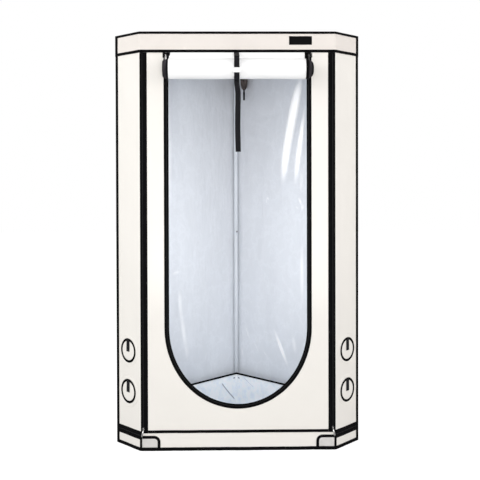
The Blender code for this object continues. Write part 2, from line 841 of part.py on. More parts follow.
def make_corner_patch(side):
    """A patch sewn on the base of the front, bound along its top and its inner side."""
    low = BASE_BINDING_WIDTH + GAP
    outer = patch_outline(PATCH_WIDTH, PATCH_HEIGHT, PATCH_CORNER, low, GAP)
    inner = patch_outline(
        PATCH_WIDTH - PATCH_RIM_WIDTH,
        PATCH_HEIGHT - PATCH_RIM_WIDTH,
        PATCH_CORNER - PATCH_RIM_WIDTH,
        low,
        GAP,
    )
    overlap = PATCH_RIM_WIDTH / 2
    sheet = patch_outline(
        PATCH_WIDTH - overlap,
        PATCH_HEIGHT - overlap,
        PATCH_CORNER - overlap,
        low + TUCK,
        GAP + TUCK,
    )
    rim = outer[1:] + inner[1:][::-1]
    frame = front_frame()
    shapes = [
        prism("patch_rim", [mirrored(rim, side)], BAND_IN, WALL_TAPE_OUT, None, frame),
        prism("patch_sheet", [mirrored(sheet, side)], BAND_IN + TUCK, BAND_OUT, None, frame),
    ]
    return join_all(f"corner_patch_{side}", shapes, "patch_fabric")


def make_label():
    low = ROOF_TOP - LABEL_BELOW_ROOF - LABEL_HEIGHT
    outline = rectangle(
        LABEL_CENTRE_X - LABEL_WIDTH / 2, LABEL_CENTRE_X + LABEL_WIDTH / 2, low, low + LABEL_HEIGHT
    )
    return prism(
        "blank_label", [outline], BAND_TAPE_IN, BAND_TAPE_IN + LABEL_THICKNESS, "black_tape", front_frame()
    )


# Zips, their sliders and pulls


def make_corner_zip(side):
    """The zip up a front corner and along the foot of the narrow side: one tape, bent round the fold."""
    edge_margin = CORNER_BINDING_REACH + GAP
    if side == "left":
        foot = (on_edge(LEFT, edge_margin), LEFT + 1 + 1 / 2)
        upright = (LEFT + 1 + 1 / 4, on_edge(LEFT + 1, CORNER_ZIP_WIDTH))
    else:
        foot = (FRONT_RIGHT, on_edge(FRONT_RIGHT, -edge_margin))
        upright = (on_edge(FRONT_LEFT, -CORNER_ZIP_WIDTH), FRONT_RIGHT + 1 / 4)
    foot_top = FOOT_ZIP_LOW + FOOT_ZIP_WIDTH
    hem_low = HEM_TAPE_TOP - HEM_TAPE_WIDTH
    tape = (BAND_IN, WALL_TAPE_OUT)
    blocks = [(foot, tape, (FOOT_ZIP_LOW, foot_top)), (upright, tape, (hem_low, ZIP_TOP))]
    return wrapped(f"corner_zip_{side}", blocks, "black_tape")


def make_door_zip():
    outer = u_path(DOOR_HALF_WIDTH + DOOR_ZIP_WIDTH, DOOR_CURVE_DROP + DOOR_ZIP_WIDTH, ZIP_TOP)
    inner = u_path(DOOR_HALF_WIDTH, DOOR_CURVE_DROP, ZIP_TOP)
    loops = [outer + inner[::-1]]
    return prism("door_zip", loops, BAND_IN, WALL_TAPE_OUT, "black_tape", front_frame())


def pull_axis(x, height):
    """Where a pull's bar lies in its slider's bridge, in the front wall's frame."""
    inside = BRIDGE_REACH - BRIDGE_WIRE
    return Vector((x, height, SLIDER_OUT + inside / 2))


def make_slider(name, x, height, pull_length):
    """A zip slider with a bridge, and the pull that hangs in the bridge by the bar above its eye."""
    front = front_frame()
    box = rectangle(
        x - SLIDER_WIDTH / 2, x + SLIDER_WIDTH / 2, height - SLIDER_LENGTH / 2, height + SLIDER_LENGTH / 2
    )
    body = prism("slider_body", [box], SLIDER_IN, SLIDER_OUT, None, front)
    bevel = body.modifiers.new("rounded edges", "BEVEL")
    bevel.width = SLIDER_EDGE
    bevel.segments = 1
    bevel.limit_method = "ANGLE"
    inside_half = BRIDGE_HALF_LENGTH - BRIDGE_WIRE
    inside = BRIDGE_REACH - BRIDGE_WIRE
    root, chamfer = -SLIDER_DEPTH / 2, BRIDGE_WIRE / 2
    outline = [
        (root, -BRIDGE_HALF_LENGTH),
        (BRIDGE_REACH - chamfer, -BRIDGE_HALF_LENGTH),
        (BRIDGE_REACH, -BRIDGE_HALF_LENGTH + chamfer),
        (BRIDGE_REACH, BRIDGE_HALF_LENGTH - chamfer),
        (BRIDGE_REACH - chamfer, BRIDGE_HALF_LENGTH),
        (root, BRIDGE_HALF_LENGTH),
        (root, inside_half),
        (inside, inside_half),
        (inside, -inside_half),
        (root, -inside_half),
    ]
    section = door_section_frame()
    points = [(SLIDER_OUT + out, height + up) for out, up in outline]
    bridge = prism("bridge", [points], -x - BRIDGE_WIRE / 2, -x + BRIDGE_WIRE / 2, None, section)
    slider = join_all(name, [body, bridge], "nickel")
    axis = pull_axis(x, height)
    set_origin(slider, front @ axis)

    half, tip = PULL_WIDTH / 2, PULL_WIDTH / 4
    top = height + PULL_BAR / 2
    outline = [
        (x - half, top),
        (x - half, top - pull_length + tip),
        (x - tip, top - pull_length),
        (x + tip, top - pull_length),
        (x + half, top - pull_length + tip),
        (x + half, top),
    ]
    eye_top = height - PULL_BAR / 2
    eye = rectangle(x - PULL_EYE_WIDTH / 2, x + PULL_EYE_WIDTH / 2, eye_top - PULL_EYE_LENGTH, eye_top)
    low = axis.z - PULL_THICKNESS / 2
    pull = prism(name.replace("slider", "pull"), [outline, eye], low, low + PULL_THICKNESS, "nickel", front)
    set_origin(pull, front @ axis)


def make_zips():
    make_door_zip()
    for side, sign in SIDES.items():
        make_corner_zip(side)
        make_slider(
            f"corner_slider_{side}",
            sign * (FRONT_SPAN / 2 - CORNER_SLIDER_INSET),
            CORNER_SLIDER_HEIGHT,
            CORNER_PULL_LENGTH,
        )
        make_slider(
            f"door_slider_{side}",
            sign * (DOOR_HALF_WIDTH + DOOR_ZIP_WIDTH / 2),
            BAND_BOTTOM - DOOR_SLIDER_BELOW_BAND,
            DOOR_PULL_LENGTH,
        )


# The rolled door, its strap and buckle. Their sections are drawn out from the front, and up.

ROLL_WEB = SLIDER_IN + ROLL_SHEET / 2
ROLL_BACK = SLIDER_OUT + BRIDGE_REACH + ROLL_SLIDER_CLEARANCE
ROLL_HALF_DEPTH = ROLL_FLATNESS * ROLL_RADIUS + ROLL_SHEET / 2
ROLL_CENTRE = (ROLL_BACK + ROLL_HALF_DEPTH, BAND_BOTTOM - ROLL_DROP)
ROLL_FRONT = ROLL_CENTRE[0] + ROLL_HALF_DEPTH
STRAP_BACK = SLIDER_IN - GAP - STRAP_THICKNESS / 2
STRAP_REAR = ROLL_BACK - STRAP_UNDER_CLEARANCE - STRAP_THICKNESS / 2
STRAP_FRONT = ROLL_FRONT + GAP + BUCKLE_WALL + BUCKLE_SLOT_CLEARANCE + STRAP_THICKNESS / 2
STRAP_BELOW = ROLL_RADIUS + ROLL_SHEET / 2 + STRAP_UNDER_CLEARANCE + STRAP_THICKNESS / 2


def roll_path(with_web):
    """The sheet from the top hem down behind the roll, then round and inwards in a spiral."""
    steps = round(ROLL_TURNS * ROLL_STEPS_PER_TURN)
    path = [(ROLL_WEB, ZIP_TOP)] if with_web else []
    for step in range(steps + 1):
        turned = step / ROLL_STEPS_PER_TURN
        radius = ROLL_RADIUS - ROLL_PITCH * turned
        angle = math.pi + math.tau * turned
        out = ROLL_CENTRE[0] + ROLL_FLATNESS * radius * math.cos(angle)
        path.append((out, ROLL_CENTRE[1] + radius * math.sin(angle)))
    return path


def make_door_roll():
    """The door's white sheet rolled up clear of the zip's path, and the black zip edges at its two ends."""
    section = door_section_frame()
    end = DOOR_HALF_WIDTH + DOOR_ZIP_WIDTH
    left, right = -end + ROLL_LEFT_EDGE, end - ROLL_RIGHT_EDGE
    sheet = thickened(roll_path(True), ROLL_SHEET)
    prism("door_roll", sheet, -right, -left, "door_lining", section)
    edge = thickened(roll_path(False), ROLL_SHEET)
    prism("roll_edge_left", edge, -left + GAP, end, "black_tape", section)
    prism("roll_edge_right", edge, -end - ROLL_RIGHT_OVERHANG, -right - GAP, "black_tape", section)


def make_door_strap():
    """A webbing loop behind, under and in front of the roll, its adjuster, and the free end below."""
    section = door_section_frame()
    low, high = -STRAP_OFFSET - STRAP_WIDTH / 2, -STRAP_OFFSET + STRAP_WIDTH / 2
    middle = (STRAP_REAR + STRAP_FRONT) / 2
    half = (STRAP_FRONT - STRAP_REAR) / 2
    turn_height = ROLL_CENTRE[1] - STRAP_STRAIGHT_BELOW
    turn_depth = STRAP_BELOW - STRAP_STRAIGHT_BELOW
    under = arc((middle, turn_height), half, turn_depth, 180, 360, STRAP_CURVE_STEPS)
    lean_top = ROLL_WEB + ROLL_SHEET + STRAP_THICKNESS
    path = [
        (STRAP_BACK, ZIP_TOP),
        (STRAP_REAR, ROLL_CENTRE[1]),
        *under,
        (STRAP_FRONT, ZIP_TOP - STRAP_LEAN_HEIGHT),
        (lean_top, ZIP_TOP),
    ]
    prism("roll_strap", thickened(path, STRAP_THICKNESS), low, high, "black_tape", section)

    lowest = ROLL_CENTRE[1] - STRAP_BELOW - STRAP_THICKNESS / 2
    tail_top = lowest - SWING_GAP
    tail = []
    for step in range(2 * ROUND_STEPS + 1):
        share = step / (2 * ROUND_STEPS)
        wave = TAIL_WAVE * math.sin(math.tau * share) * share
        tail.append((middle + wave, tail_top - TAIL_LENGTH * share))
    tail_object = prism(
        "strap_tail", thickened(tail, STRAP_THICKNESS), low, high, "black_tape", section
    )
    set_origin(tail_object, section @ Vector((middle, tail_top, -STRAP_OFFSET)))

    slot_depth = STRAP_THICKNESS / 2 + BUCKLE_SLOT_CLEARANCE
    inner_half = Vector((slot_depth, STRAP_WIDTH / 2 + BUCKLE_SIDE_CLEARANCE))
    outer_half = Vector((slot_depth + BUCKLE_WALL, BUCKLE_WIDTH / 2))
    centre = Vector((STRAP_OFFSET, FRONT_Y - STRAP_FRONT))
    slot = rectangle(
        centre.x - inner_half.y, centre.x + inner_half.y, centre.y - inner_half.x, centre.y + inner_half.x
    )
    reach_x, reach_y = outer_half.y - BUCKLE_CORNER, outer_half.x - BUCKLE_CORNER
    outside = [
        point
        for sign_x, sign_y, first in ((1, 1, 0), (-1, 1, 90), (-1, -1, 180), (1, -1, 270))
        for point in arc(
            (centre.x + sign_x * reach_x, centre.y + sign_y * reach_y),
            BUCKLE_CORNER,
            BUCKLE_CORNER,
            first,
            first + 90,
            ROUND_STEPS,
        )
    ]
    low = ROLL_CENTRE[1] - BUCKLE_BELOW_ROLL - BUCKLE_HEIGHT / 2
    buckle = prism("strap_buckle", [outside, slot], low, low + BUCKLE_HEIGHT, "white_plastic")
    set_origin(buckle, (centre.x, centre.y, ROLL_CENTRE[1]))


# Duct port covers, cable sleeve and tray


def port_hinge_point(side, level):
    """The top of a cover's rim, on its face: the fold that the cover lifts on."""
    rise = PORT_COVER_RADIUS + GAP + PORT_RIM_WIDTH
    return port_frame(side, level) @ Vector((0, rise, BAND_IN + PORT_RIM_THICKNESS))


def make_port_cover(side, level):
    """A round flap, and its black rim with the webbing tab that hangs from the top of it."""
    frame = port_frame(side, level)
    hinge = port_hinge_point(side, level)
    cover = prism(
        f"port_cover_{side}_{level}",
        [circle(PORT_COVER_RADIUS, PORT_SIDES)],
        BAND_IN,
        BAND_OUT,
        "cover_fabric",
        frame,
    )
    set_origin(cover, hinge)
    inside = PORT_COVER_RADIUS + GAP
    outside = inside + PORT_RIM_WIDTH
    rim = prism(
        "rim",
        [circle(outside, PORT_SIDES), circle(inside, PORT_SIDES)],
        BAND_IN,
        BAND_IN + PORT_RIM_THICKNESS,
        None,
        frame,
    )
    half = PORT_TAB_WIDTH / 2
    top = inside + PORT_RIM_WIDTH / 2
    tab_low = BAND_OUT + GAP
    tab = prism(
        "tab",
        [rectangle(-half, half, inside - PORT_TAB_DROP, top)],
        tab_low,
        tab_low + TAPE,
        None,
        frame,
    )
    trim = join_all(f"port_rim_{side}_{level}", [rim, tab], "black_tape")
    set_origin(trim, hinge)


def make_cable_sleeve():
    """A dark sleeve sewn behind the hole in the back wall; it hangs down, drawn shut above its thin end."""
    frame = cable_port_frame()
    root_out = PANEL_IN - GAP
    root = prism(
        "sleeve_root",
        [circle(CABLE_SLEEVE_RADIUS, TUBE_SIDES)],
        root_out - CABLE_SLEEVE_ROOT,
        root_out,
        None,
        frame,
    )
    top = frame @ Vector((0, 0, root_out - CABLE_SLEEVE_RADIUS))
    mouth = top - Vector((0, 0, CABLE_SLEEVE_DROP))
    end = mouth - Vector((0, 0, CABLE_SLEEVE_END_LENGTH))
    rise = Vector((0, 0, CABLE_SLEEVE_END_RADIUS))
    shapes = [
        root,
        rod("sleeve_body", top + rise, mouth, CABLE_SLEEVE_RADIUS - GAP, TUBE_SIDES, None, CABLE_SLEEVE_MOUTH),
        rod("sleeve_end", mouth + rise, end, CABLE_SLEEVE_END_RADIUS, TUBE_SIDES),
    ]
    return join_all("cable_sleeve", shapes, "dark_mesh")


def make_tray():
    """A soft pan inside the poles, with a black binding along its rim."""
    outside = HUB_RADIUS + GAP
    low = FLOOR_TOP + GAP
    tray = prism("floor_tray", [inset(outside)], low, low + TRAY_HEIGHT, "reflective_lining")
    hollow = prism("tray_hollow", [inset(outside + TRAY_WALL)], low + TRAY_WALL, low + TRAY_HEIGHT + OVERRUN)
    combine(tray, hollow, "DIFFERENCE")
    rim_low = low + TRAY_HEIGHT + GAP
    loops = [inset(outside), inset(outside + TRAY_BINDING_THICKNESS)]
    prism("tray_binding", loops, rim_low, rim_low + TRAY_BINDING_HEIGHT, "black_tape")


def main():
    clear_scene()
    make_materials()
    make_frame()
    make_front_panel()
    for side in SIDES:
        make_side_panel(side)
    make_back_walls()
    make_roof_and_floor()
    make_top_band()
    make_bindings()
    for side in SIDES:
        make_corner_patch(side)
    make_label()
    make_zips()
    make_door_roll()
    make_door_strap()
    for side in SIDES:
        for level in PORT_HEIGHTS:
            make_port_cover(side, level)
    make_cable_sleeve()
    make_tray()
    print("least gap in the rolled door", round(ROLL_FLATNESS * ROLL_PITCH - ROLL_SHEET, 5))


main()
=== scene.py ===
"""Dresses the corner grow tent: sewn cover, lining, zips, rolled door, duct ports, tray and tubes.

Metres. +Z is up and the door faces -Y. A place on the cover is a distance round it from the middle of
the door, a height, and a distance out from the axes of the corner poles."""

import json
import math
from contextlib import contextmanager
from math import pi, tau

import bmesh
import bpy
import numpy as np
from bpy.props import FloatProperty, FloatVectorProperty, PointerProperty
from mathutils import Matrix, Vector
from numpy import (
    arctan2, array, broadcast_arrays, clip, concatenate, cos, full, hypot, linspace, maximum, minimum, sin,
    stack,
)
from numpy.linalg import norm


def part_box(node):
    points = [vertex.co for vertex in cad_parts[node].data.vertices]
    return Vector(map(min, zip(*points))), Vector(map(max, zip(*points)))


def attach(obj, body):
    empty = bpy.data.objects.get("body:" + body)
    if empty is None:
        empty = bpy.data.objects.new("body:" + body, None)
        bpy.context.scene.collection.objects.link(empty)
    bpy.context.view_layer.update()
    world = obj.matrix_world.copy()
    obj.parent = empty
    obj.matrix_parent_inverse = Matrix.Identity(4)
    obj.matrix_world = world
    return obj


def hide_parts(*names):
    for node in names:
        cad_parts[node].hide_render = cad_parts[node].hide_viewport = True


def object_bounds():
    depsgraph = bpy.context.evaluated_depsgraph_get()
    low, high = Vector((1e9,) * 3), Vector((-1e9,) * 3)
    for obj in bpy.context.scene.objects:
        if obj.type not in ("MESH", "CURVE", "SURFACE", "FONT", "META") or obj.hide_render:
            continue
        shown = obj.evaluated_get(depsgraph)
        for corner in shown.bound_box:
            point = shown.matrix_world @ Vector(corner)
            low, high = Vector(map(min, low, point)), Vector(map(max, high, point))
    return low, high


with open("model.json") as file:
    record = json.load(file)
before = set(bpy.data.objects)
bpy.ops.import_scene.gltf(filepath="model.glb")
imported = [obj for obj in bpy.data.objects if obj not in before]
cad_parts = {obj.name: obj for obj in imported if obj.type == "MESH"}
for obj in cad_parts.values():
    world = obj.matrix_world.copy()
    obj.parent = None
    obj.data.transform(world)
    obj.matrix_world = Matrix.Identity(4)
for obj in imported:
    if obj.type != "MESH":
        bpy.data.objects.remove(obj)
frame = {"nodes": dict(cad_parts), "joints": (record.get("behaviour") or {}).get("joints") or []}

CAD_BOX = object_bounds()

bl_info = {
    "name": "Corner grow tent looks",
    "version": (1, 0, 0),
    "blender": (4, 5, 0),
    "location": "View3D > Sidebar > Grow Tent",
    "description": "Builds the sewn, zipped and rolled pieces of a corner grow tent around its frame",
    "category": "Mesh",
}

# Overall sizes, as the tubes and the cover were cut
HALF_WIDTH = CAD_BOX[1].x
ROOF_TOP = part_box("top_band")[1].z
GAP = 0.0003
FRONT_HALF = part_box("front_panel")[1].x + GAP / 2
HUB_RADIUS = 0.014
TUBE_RADIUS = 0.011
FABRIC = 0.0010
TAPE = 0.0015
PANEL_IN = HUB_RADIUS + GAP
PANEL_OUT = PANEL_IN + FABRIC
BAND_IN = PANEL_OUT + GAP
BAND_OUT = BAND_IN + FABRIC
WALL_TAPE_OUT = BAND_IN + TAPE
BAND_TAPE_IN = BAND_OUT + GAP
BAND_TAPE_OUT = BAND_TAPE_IN + TAPE
SLIDER_IN = WALL_TAPE_OUT + GAP
FRONT_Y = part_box("front_panel")[0].y + PANEL_OUT
HALF_SPAN = HALF_WIDTH - BAND_TAPE_OUT
BACK_Y = -FRONT_Y
WIDE_Y = BACK_Y - HALF_SPAN

# Heights
TENT_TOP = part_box("seam_binding")[1].z
ROOF_UNDER = ROOF_TOP - FABRIC
WALL_TOP = ROOF_UNDER - GAP
WALL_BOTTOM = FABRIC + GAP
BAND_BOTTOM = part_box("top_band")[0].z
BAND_TALL = TENT_TOP - BAND_BOTTOM
ZIP_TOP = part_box("door_zip")[1].z
LOW_AXIS = FABRIC + GAP + HUB_RADIUS
TOP_AXIS = ROOF_UNDER - GAP - HUB_RADIUS

# Tapes, zips and door
BINDING_WIDTH = 0.0115
BASE_BINDING_WIDTH = 0.0165
BINDING_FOLD = 0.010
TAPE_EDGE = 0.0004
TAPE_CROWN = 0.0001
CORNER_BINDING_REACH = 0.0135
HEM_LOW, HEM_TOP = (corner.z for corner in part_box("front_hem_tape"))
FOOT_ZIP_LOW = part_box("corner_zip_left")[0].z
FOOT_ZIP_WIDTH = 0.041
CORNER_ZIP_WIDTH = 0.0285
CORNER_SLIDER_INSET = 0.0065
SLIDER_THICKNESS = 0.004
DOOR_ZIP_WIDTH = 0.023
ZIP_TAPE = 0.0011
CORNER_ZIP_TAPE = 0.0012
DOOR_TEETH_WIDTH = 0.0042
DOOR_TEETH_SHARE = 0.42
CORNER_TEETH_WIDTH = 0.0046
TEETH_OUT = BAND_IN + 0.0008
TOOTH_PITCH = 0.0024
TOOTH_RISE = 0.0006
DOOR_HALF_WIDTH = 0.329
DOOR_CURVE_HEIGHT = 0.587
DOOR_CURVE_DROP = 0.364
DOOR_ZIP_OVERHANG = 0.002
DOOR_TOP = BAND_BOTTOM - 0.022
DOOR_AREA = 2 * DOOR_HALF_WIDTH * (DOOR_TOP - DOOR_CURVE_HEIGHT)
DOOR_AREA += pi / 2 * DOOR_HALF_WIDTH * DOOR_CURVE_DROP
PULL_LEAN_DEGREES = 13
PULL_EYE_DEPTH = 0.0055
PULL_EDGE = 0.00035
PATCH_WIDTH = 0.0873
PATCH_HEIGHT = 0.0730
PATCH_CORNER = 0.030
PATCH_RIM_WIDTH = 0.0145

# Stitch rows on the band: their heights, depth and width
STITCH_ROWS = (ROOF_TOP - 0.0225, ROOF_TOP - 0.033, BAND_BOTTOM + 0.0145)
STITCH_DEPTH = 0.0004
STITCH_WIDTH = 0.0016

# Duct ports
PORT_BORE = 0.048
PORT_SLEEVE_LENGTH = 0.055
PORT_COVER_RADIUS = 0.0475
PORT_RIM_WIDTH = 0.0095
PORT_RIM_THICKNESS = 0.0024
PORT_RIM_SPREAD = 0.0010
PORT_TAB_WIDTH = 0.023
PORT_TAB_DROP = 0.052
PORT_STITCH_RADIUS = 0.0765
PORT_STITCH_INSET = 0.0045
COLLAR_RISE = 0.0013
COLLAR_START = 0.0001
PORT_HEIGHTS = {"upper": 0.467, "lower": 0.2695}
ROOF_BORE = 0.0625
ROOF_SLEEVE_Y = -0.060
ROOF_SLEEVE_LENGTH = 0.0445
CABLE_BORE = 0.020
CABLE_FROM_CORNER = 0.075
CABLE_BELOW_ROOF = 0.085
CABLE_SLEEVE_RADIUS = 0.024
CABLE_SLEEVE_ROOT = 0.018
CABLE_SLEEVE_DROP = 0.126
CABLE_SLEEVE_MOUTH = 0.018
CABLE_SLEEVE_END_RADIUS = 0.0055
CABLE_SLEEVE_END_LENGTH = 0.056

# Rolled door and strap, as distances out from the front poles' axes and heights
ROLL_RADIUS = 0.050
ROLL_FLATNESS = 0.8
ROLL_OUT = 0.0699
ROLL_HEIGHT = BAND_BOTTOM - 0.085
ROLL_WEB = 0.0190
ROLL_CLOTH = 0.0010
ROLL_EDGE_CLOTH = 0.0013
ROLL_TURNS = 11
ROLL_EDGE_TURNS = 6
ROLL_CORE = 0.006
ROLL_END_TAPER_SHARES = {"left": 0.25, "right": 0.6}
ROLL_TAPE_REACH = 0.0085
ROLL_TAPE_DROP = 0.036
ZIP_END_WIDTH = 0.031
ZIP_END_HEIGHT = 0.024
STRAP_WIDTH = 0.025
STRAP_X = -0.005
STRAP_THICKNESS = 0.0012
STRAP_STRAIGHT = 0.030
STRAP_OVER_WEB = 0.0032
TAIL_ASIDE = 0.0065
TAIL_SWAY = 0.004
BUTTON_DEGREES = 28
BUTTON_BELOW_JOINT = 0.004
BUTTON_PROFILE = [(-0.002, 0.0042), (0.0006, 0.0042), (0.0016, 0.0032), (0.0020, 0.0014)]
TRAY_HEIGHT = 0.1907
TRAY_WALL = 0.0015
TRAY_CORNER = 0.006
TRAY_RIM_WIDTH = 0.003
TACK_FROM_CORNER = 0.009
TACK_BELOW_RIM = 0.018
TACK_PROFILE = [(0, 0.0012), (0.0012, 0.0022), (0.0095, 0.0022), (0.0107, 0.0012)]

# How far apart the grids' lines lie: on the panels, along tapes, in turns, in the roll and in the door's foot
FRONT_STEP, SIDE_STEP, BACK_STEP, BAND_STEP = 0.009, 0.008, 0.011, 0.007
HOLE_STEP, TAPE_STEP, TURN_STEP = 0.007, 0.012, 0.004
ROLL_STEP, ROLL_EDGE_STEP = 0.013, 0.0025
FOOT_ANGLE_STEP = 0.028

# Glow of the lining's painted highlights, the reach, heights and strength of the painted shade that darkens
# the lining towards the back corner, and glow of the tray's painted highlights
LINING_HIGHLIGHT_GLOW = 0.3
PAINTED_SHADE_REACH = 0.30
PAINTED_SHADE_LOW = 0.35
PAINTED_SHADE_TOP = 1.8
PAINTED_SHADE_SHARE = 0.54
TRAY_HIGHLIGHT_GLOW = 0.055

# Threads of the weaves
COVER_THREAD, LABEL_THREAD, SLEEVE_THREAD, PATCH_THREAD = 0.0011, 0.0009, 0.0012, 0.0014

# Painted shade along creases of the tray's back walls: across and up at each end in shares of half the width
# and of the tray's height, then the width in shares of half the tent's width and how dark the painted shade
# is
TRAY_CREASE_SHADE_SHARES = [
    (-0.141, 0.870, -0.015, 0.270, 0.0065, 0.8),
    (0.075, 0.960, 0.165, 0.760, 0.0040, 0.35),
]

# Lamps: place, the point they face, width, height for a tall one, colour, and whether the camera sees them.
# A lamp's first word names its power.
LAMPS = {
    "key_lamp": ((-4.2, -2.4, 3.0), (0, 0, 1.3), 2.8, None, (1.0, 1.0, 0.99), True),
    "fill_lamp": ((4.2, -2.2, 2.6), (0, 0, 1.3), 2.8, None, (1.0, 0.98, 0.965), True),
    "door_lamp": ((0, FRONT_Y + 0.12, 0.86), (0, 0.3, 0.85), 0.42, 1.28, (0.99, 0.99, 1.0), False),
    "wall_lamp_left": ((-0.43, FRONT_Y + 0.08, 1.05), (-0.3, 0.07, 1.05), 0.1, 1.55, (0.99, 0.99, 1), False),
    "wall_lamp_right": ((0.43, FRONT_Y + 0.08, 1.05), (0.3, 0.07, 1.05), 0.1, 1.55, (0.99, 0.99, 1), False),
    "roll_lamp": ((0, FRONT_Y - 0.55, 0.85), (0, FRONT_Y - 0.1, 1.8), 0.9, None, (1.0, 1.0, 1.0), False),
    "front_lamp": ((0.1, -5.2, 1.2), (0, 0, 1.2), 2.4, None, (1.0, 0.99, 0.98), True),
}
PICTURE_SIZE = 480
FLOOR_REACH = 14.0
FLOOR_DROP = 0.0002

SIDES = {"left": -1, "right": 1}


def colour(name, description, default):
    return FloatVectorProperty(
        name=name, description=description, size=3, subtype="COLOR", default=default, min=0, max=1
    )


def height(name, description, default):
    return FloatProperty(name=name, description=description, default=default, unit="LENGTH")


def power(name, description, default):
    return FloatProperty(name=name, description=description, default=default, unit="POWER")


def turned(name, description, default):
    return FloatProperty(name=name, description=description, default=default, subtype="ANGLE")


class Looks(bpy.types.PropertyGroup):
    """Colours and cloth sizes that a user would change."""

    cover: colour("Cover", "Outside of the sewn cover", (0.866, 0.835, 0.788))
    lining: colour("Lining", "Reflective inside of the walls", (0.822, 0.848, 0.890))
    door: colour("Door", "Lining side of the rolled door", (0.97, 0.97, 0.97))
    tape: colour("Tape", "Bindings, zip tapes and webbing", (0.002, 0.002, 0.0024))
    patch: colour("Patch", "Cloth of the corner patches", (0.70, 0.68, 0.66))
    tube: colour("Tubes", "Powder coat of the poles and rails", (0.70, 0.735, 0.78))
    ripple: height("Ripple", "Height of the soft ripples in the cover", 0.0012)
    pucker: height("Pucker", "Height of the puckers beside seams", 0.0007)


class StageSizes(bpy.types.PropertyGroup):
    """Lamp powers and the camera's place."""

    key: power("Key lamp", "Power of the large lamp at the left", 98)
    fill: power("Fill lamp", "Power of the lamp at the right", 64)
    front: power("Front lamp", "Power of the lamp in front", 74)
    door: power("Door lamp", "Power of the unseen lamp in the doorway", 0.40)
    wall: power("Wall lamps", "Power of each unseen lamp behind the front panel", 0.66)
    roll: power("Roll lamp", "Power of the unseen lamp below the rolled door", 1.3)
    sky: FloatProperty(name="Sky", description="Strength of the even light all round", default=0.6, min=0)
    camera: FloatVectorProperty(
        name="Camera", description="Its place", size=3, subtype="XYZ", default=(-0.06, -4.304, 1.333)
    )
    focus: FloatProperty(name="Focal length", description="In pixels of the picture", default=825.0)
    yaw: turned("Yaw", "Turn about the vertical", -0.0166)
    pitch: turned("Pitch", "Tilt below the horizon", 0.0130)
    lean: turned("Lean", "Turn of the camera about its own axis", 0.0026)
    aside: FloatProperty(name="Aside", description="Shift of the picture's middle, in pixels", default=1.1)
    rise: FloatProperty(name="Rise", description="Rise of the picture's middle, in pixels", default=-57.5)


# Walking round the cover

AXES = [(FRONT_HALF, FRONT_Y), (HALF_SPAN, WIDE_Y), (0, BACK_Y), (-HALF_SPAN, WIDE_Y), (-FRONT_HALF, FRONT_Y)]


def walk_knots():
    """Distances round at which a wall or a turn starts, with the axis point and outward angle there."""
    marks, points, angles = [0.0], [(0, FRONT_Y)], [-pi / 2]
    turns = []
    for index, point in enumerate(AXES):
        before = Vector(point) - Vector(points[-1])
        following = [*AXES, (0, FRONT_Y)][index + 1]
        after = Vector(following) - Vector(point)
        turn = (math.atan2(after.y, after.x) - math.atan2(before.y, before.x)) % tau
        start = marks[-1] + before.length
        end = start + turn * BAND_IN
        marks += [start, end]
        points += [point, point]
        angles += [angles[-1], angles[-1] + turn]
        turns.append((start, end))
    marks.append(marks[-1] + FRONT_HALF)
    points.append((0, FRONT_Y))
    angles.append(angles[-1])
    return array(marks), array(points, float), array(angles), turns


MARKS, MARK_POINTS, MARK_ANGLES, TURNS = walk_knots()
ROUND = MARKS[-1]
FRONT_TURN, SIDE_TURN, BACK_TURN = TURNS[:3]
SIDE_SEAM = sum(SIDE_TURN) / 2
BACK_SEAM = sum(BACK_TURN) / 2
PORT_PLACE = (FRONT_TURN[1] + SIDE_TURN[0]) / 2


def station(place):
    """Axis point and outward angle at a distance round: straight lines between the marks."""
    place = np.mod(place, ROUND)
    x, y = (np.interp(place, MARKS, line) for line in MARK_POINTS.T)
    return x, y, np.interp(place, MARKS, MARK_ANGLES)


def bump_at(value, centre, width):
    """A bell: one at the centre, near nothing at twice the width."""
    return np.exp(-(((value - centre) / width) ** 2))


def smooth(value, low, high):
    """Nought below low, one above high, and smooth between."""
    share = clip((value - low) / (high - low), 0, 1)
    return share * share * (3 - 2 * share)


def wave(place, height, long_way, tall_way, shift):
    """A plane wave across the cover, from its lengths along and up in metres."""
    return sin(tau * (place / long_way + height / tall_way + shift))
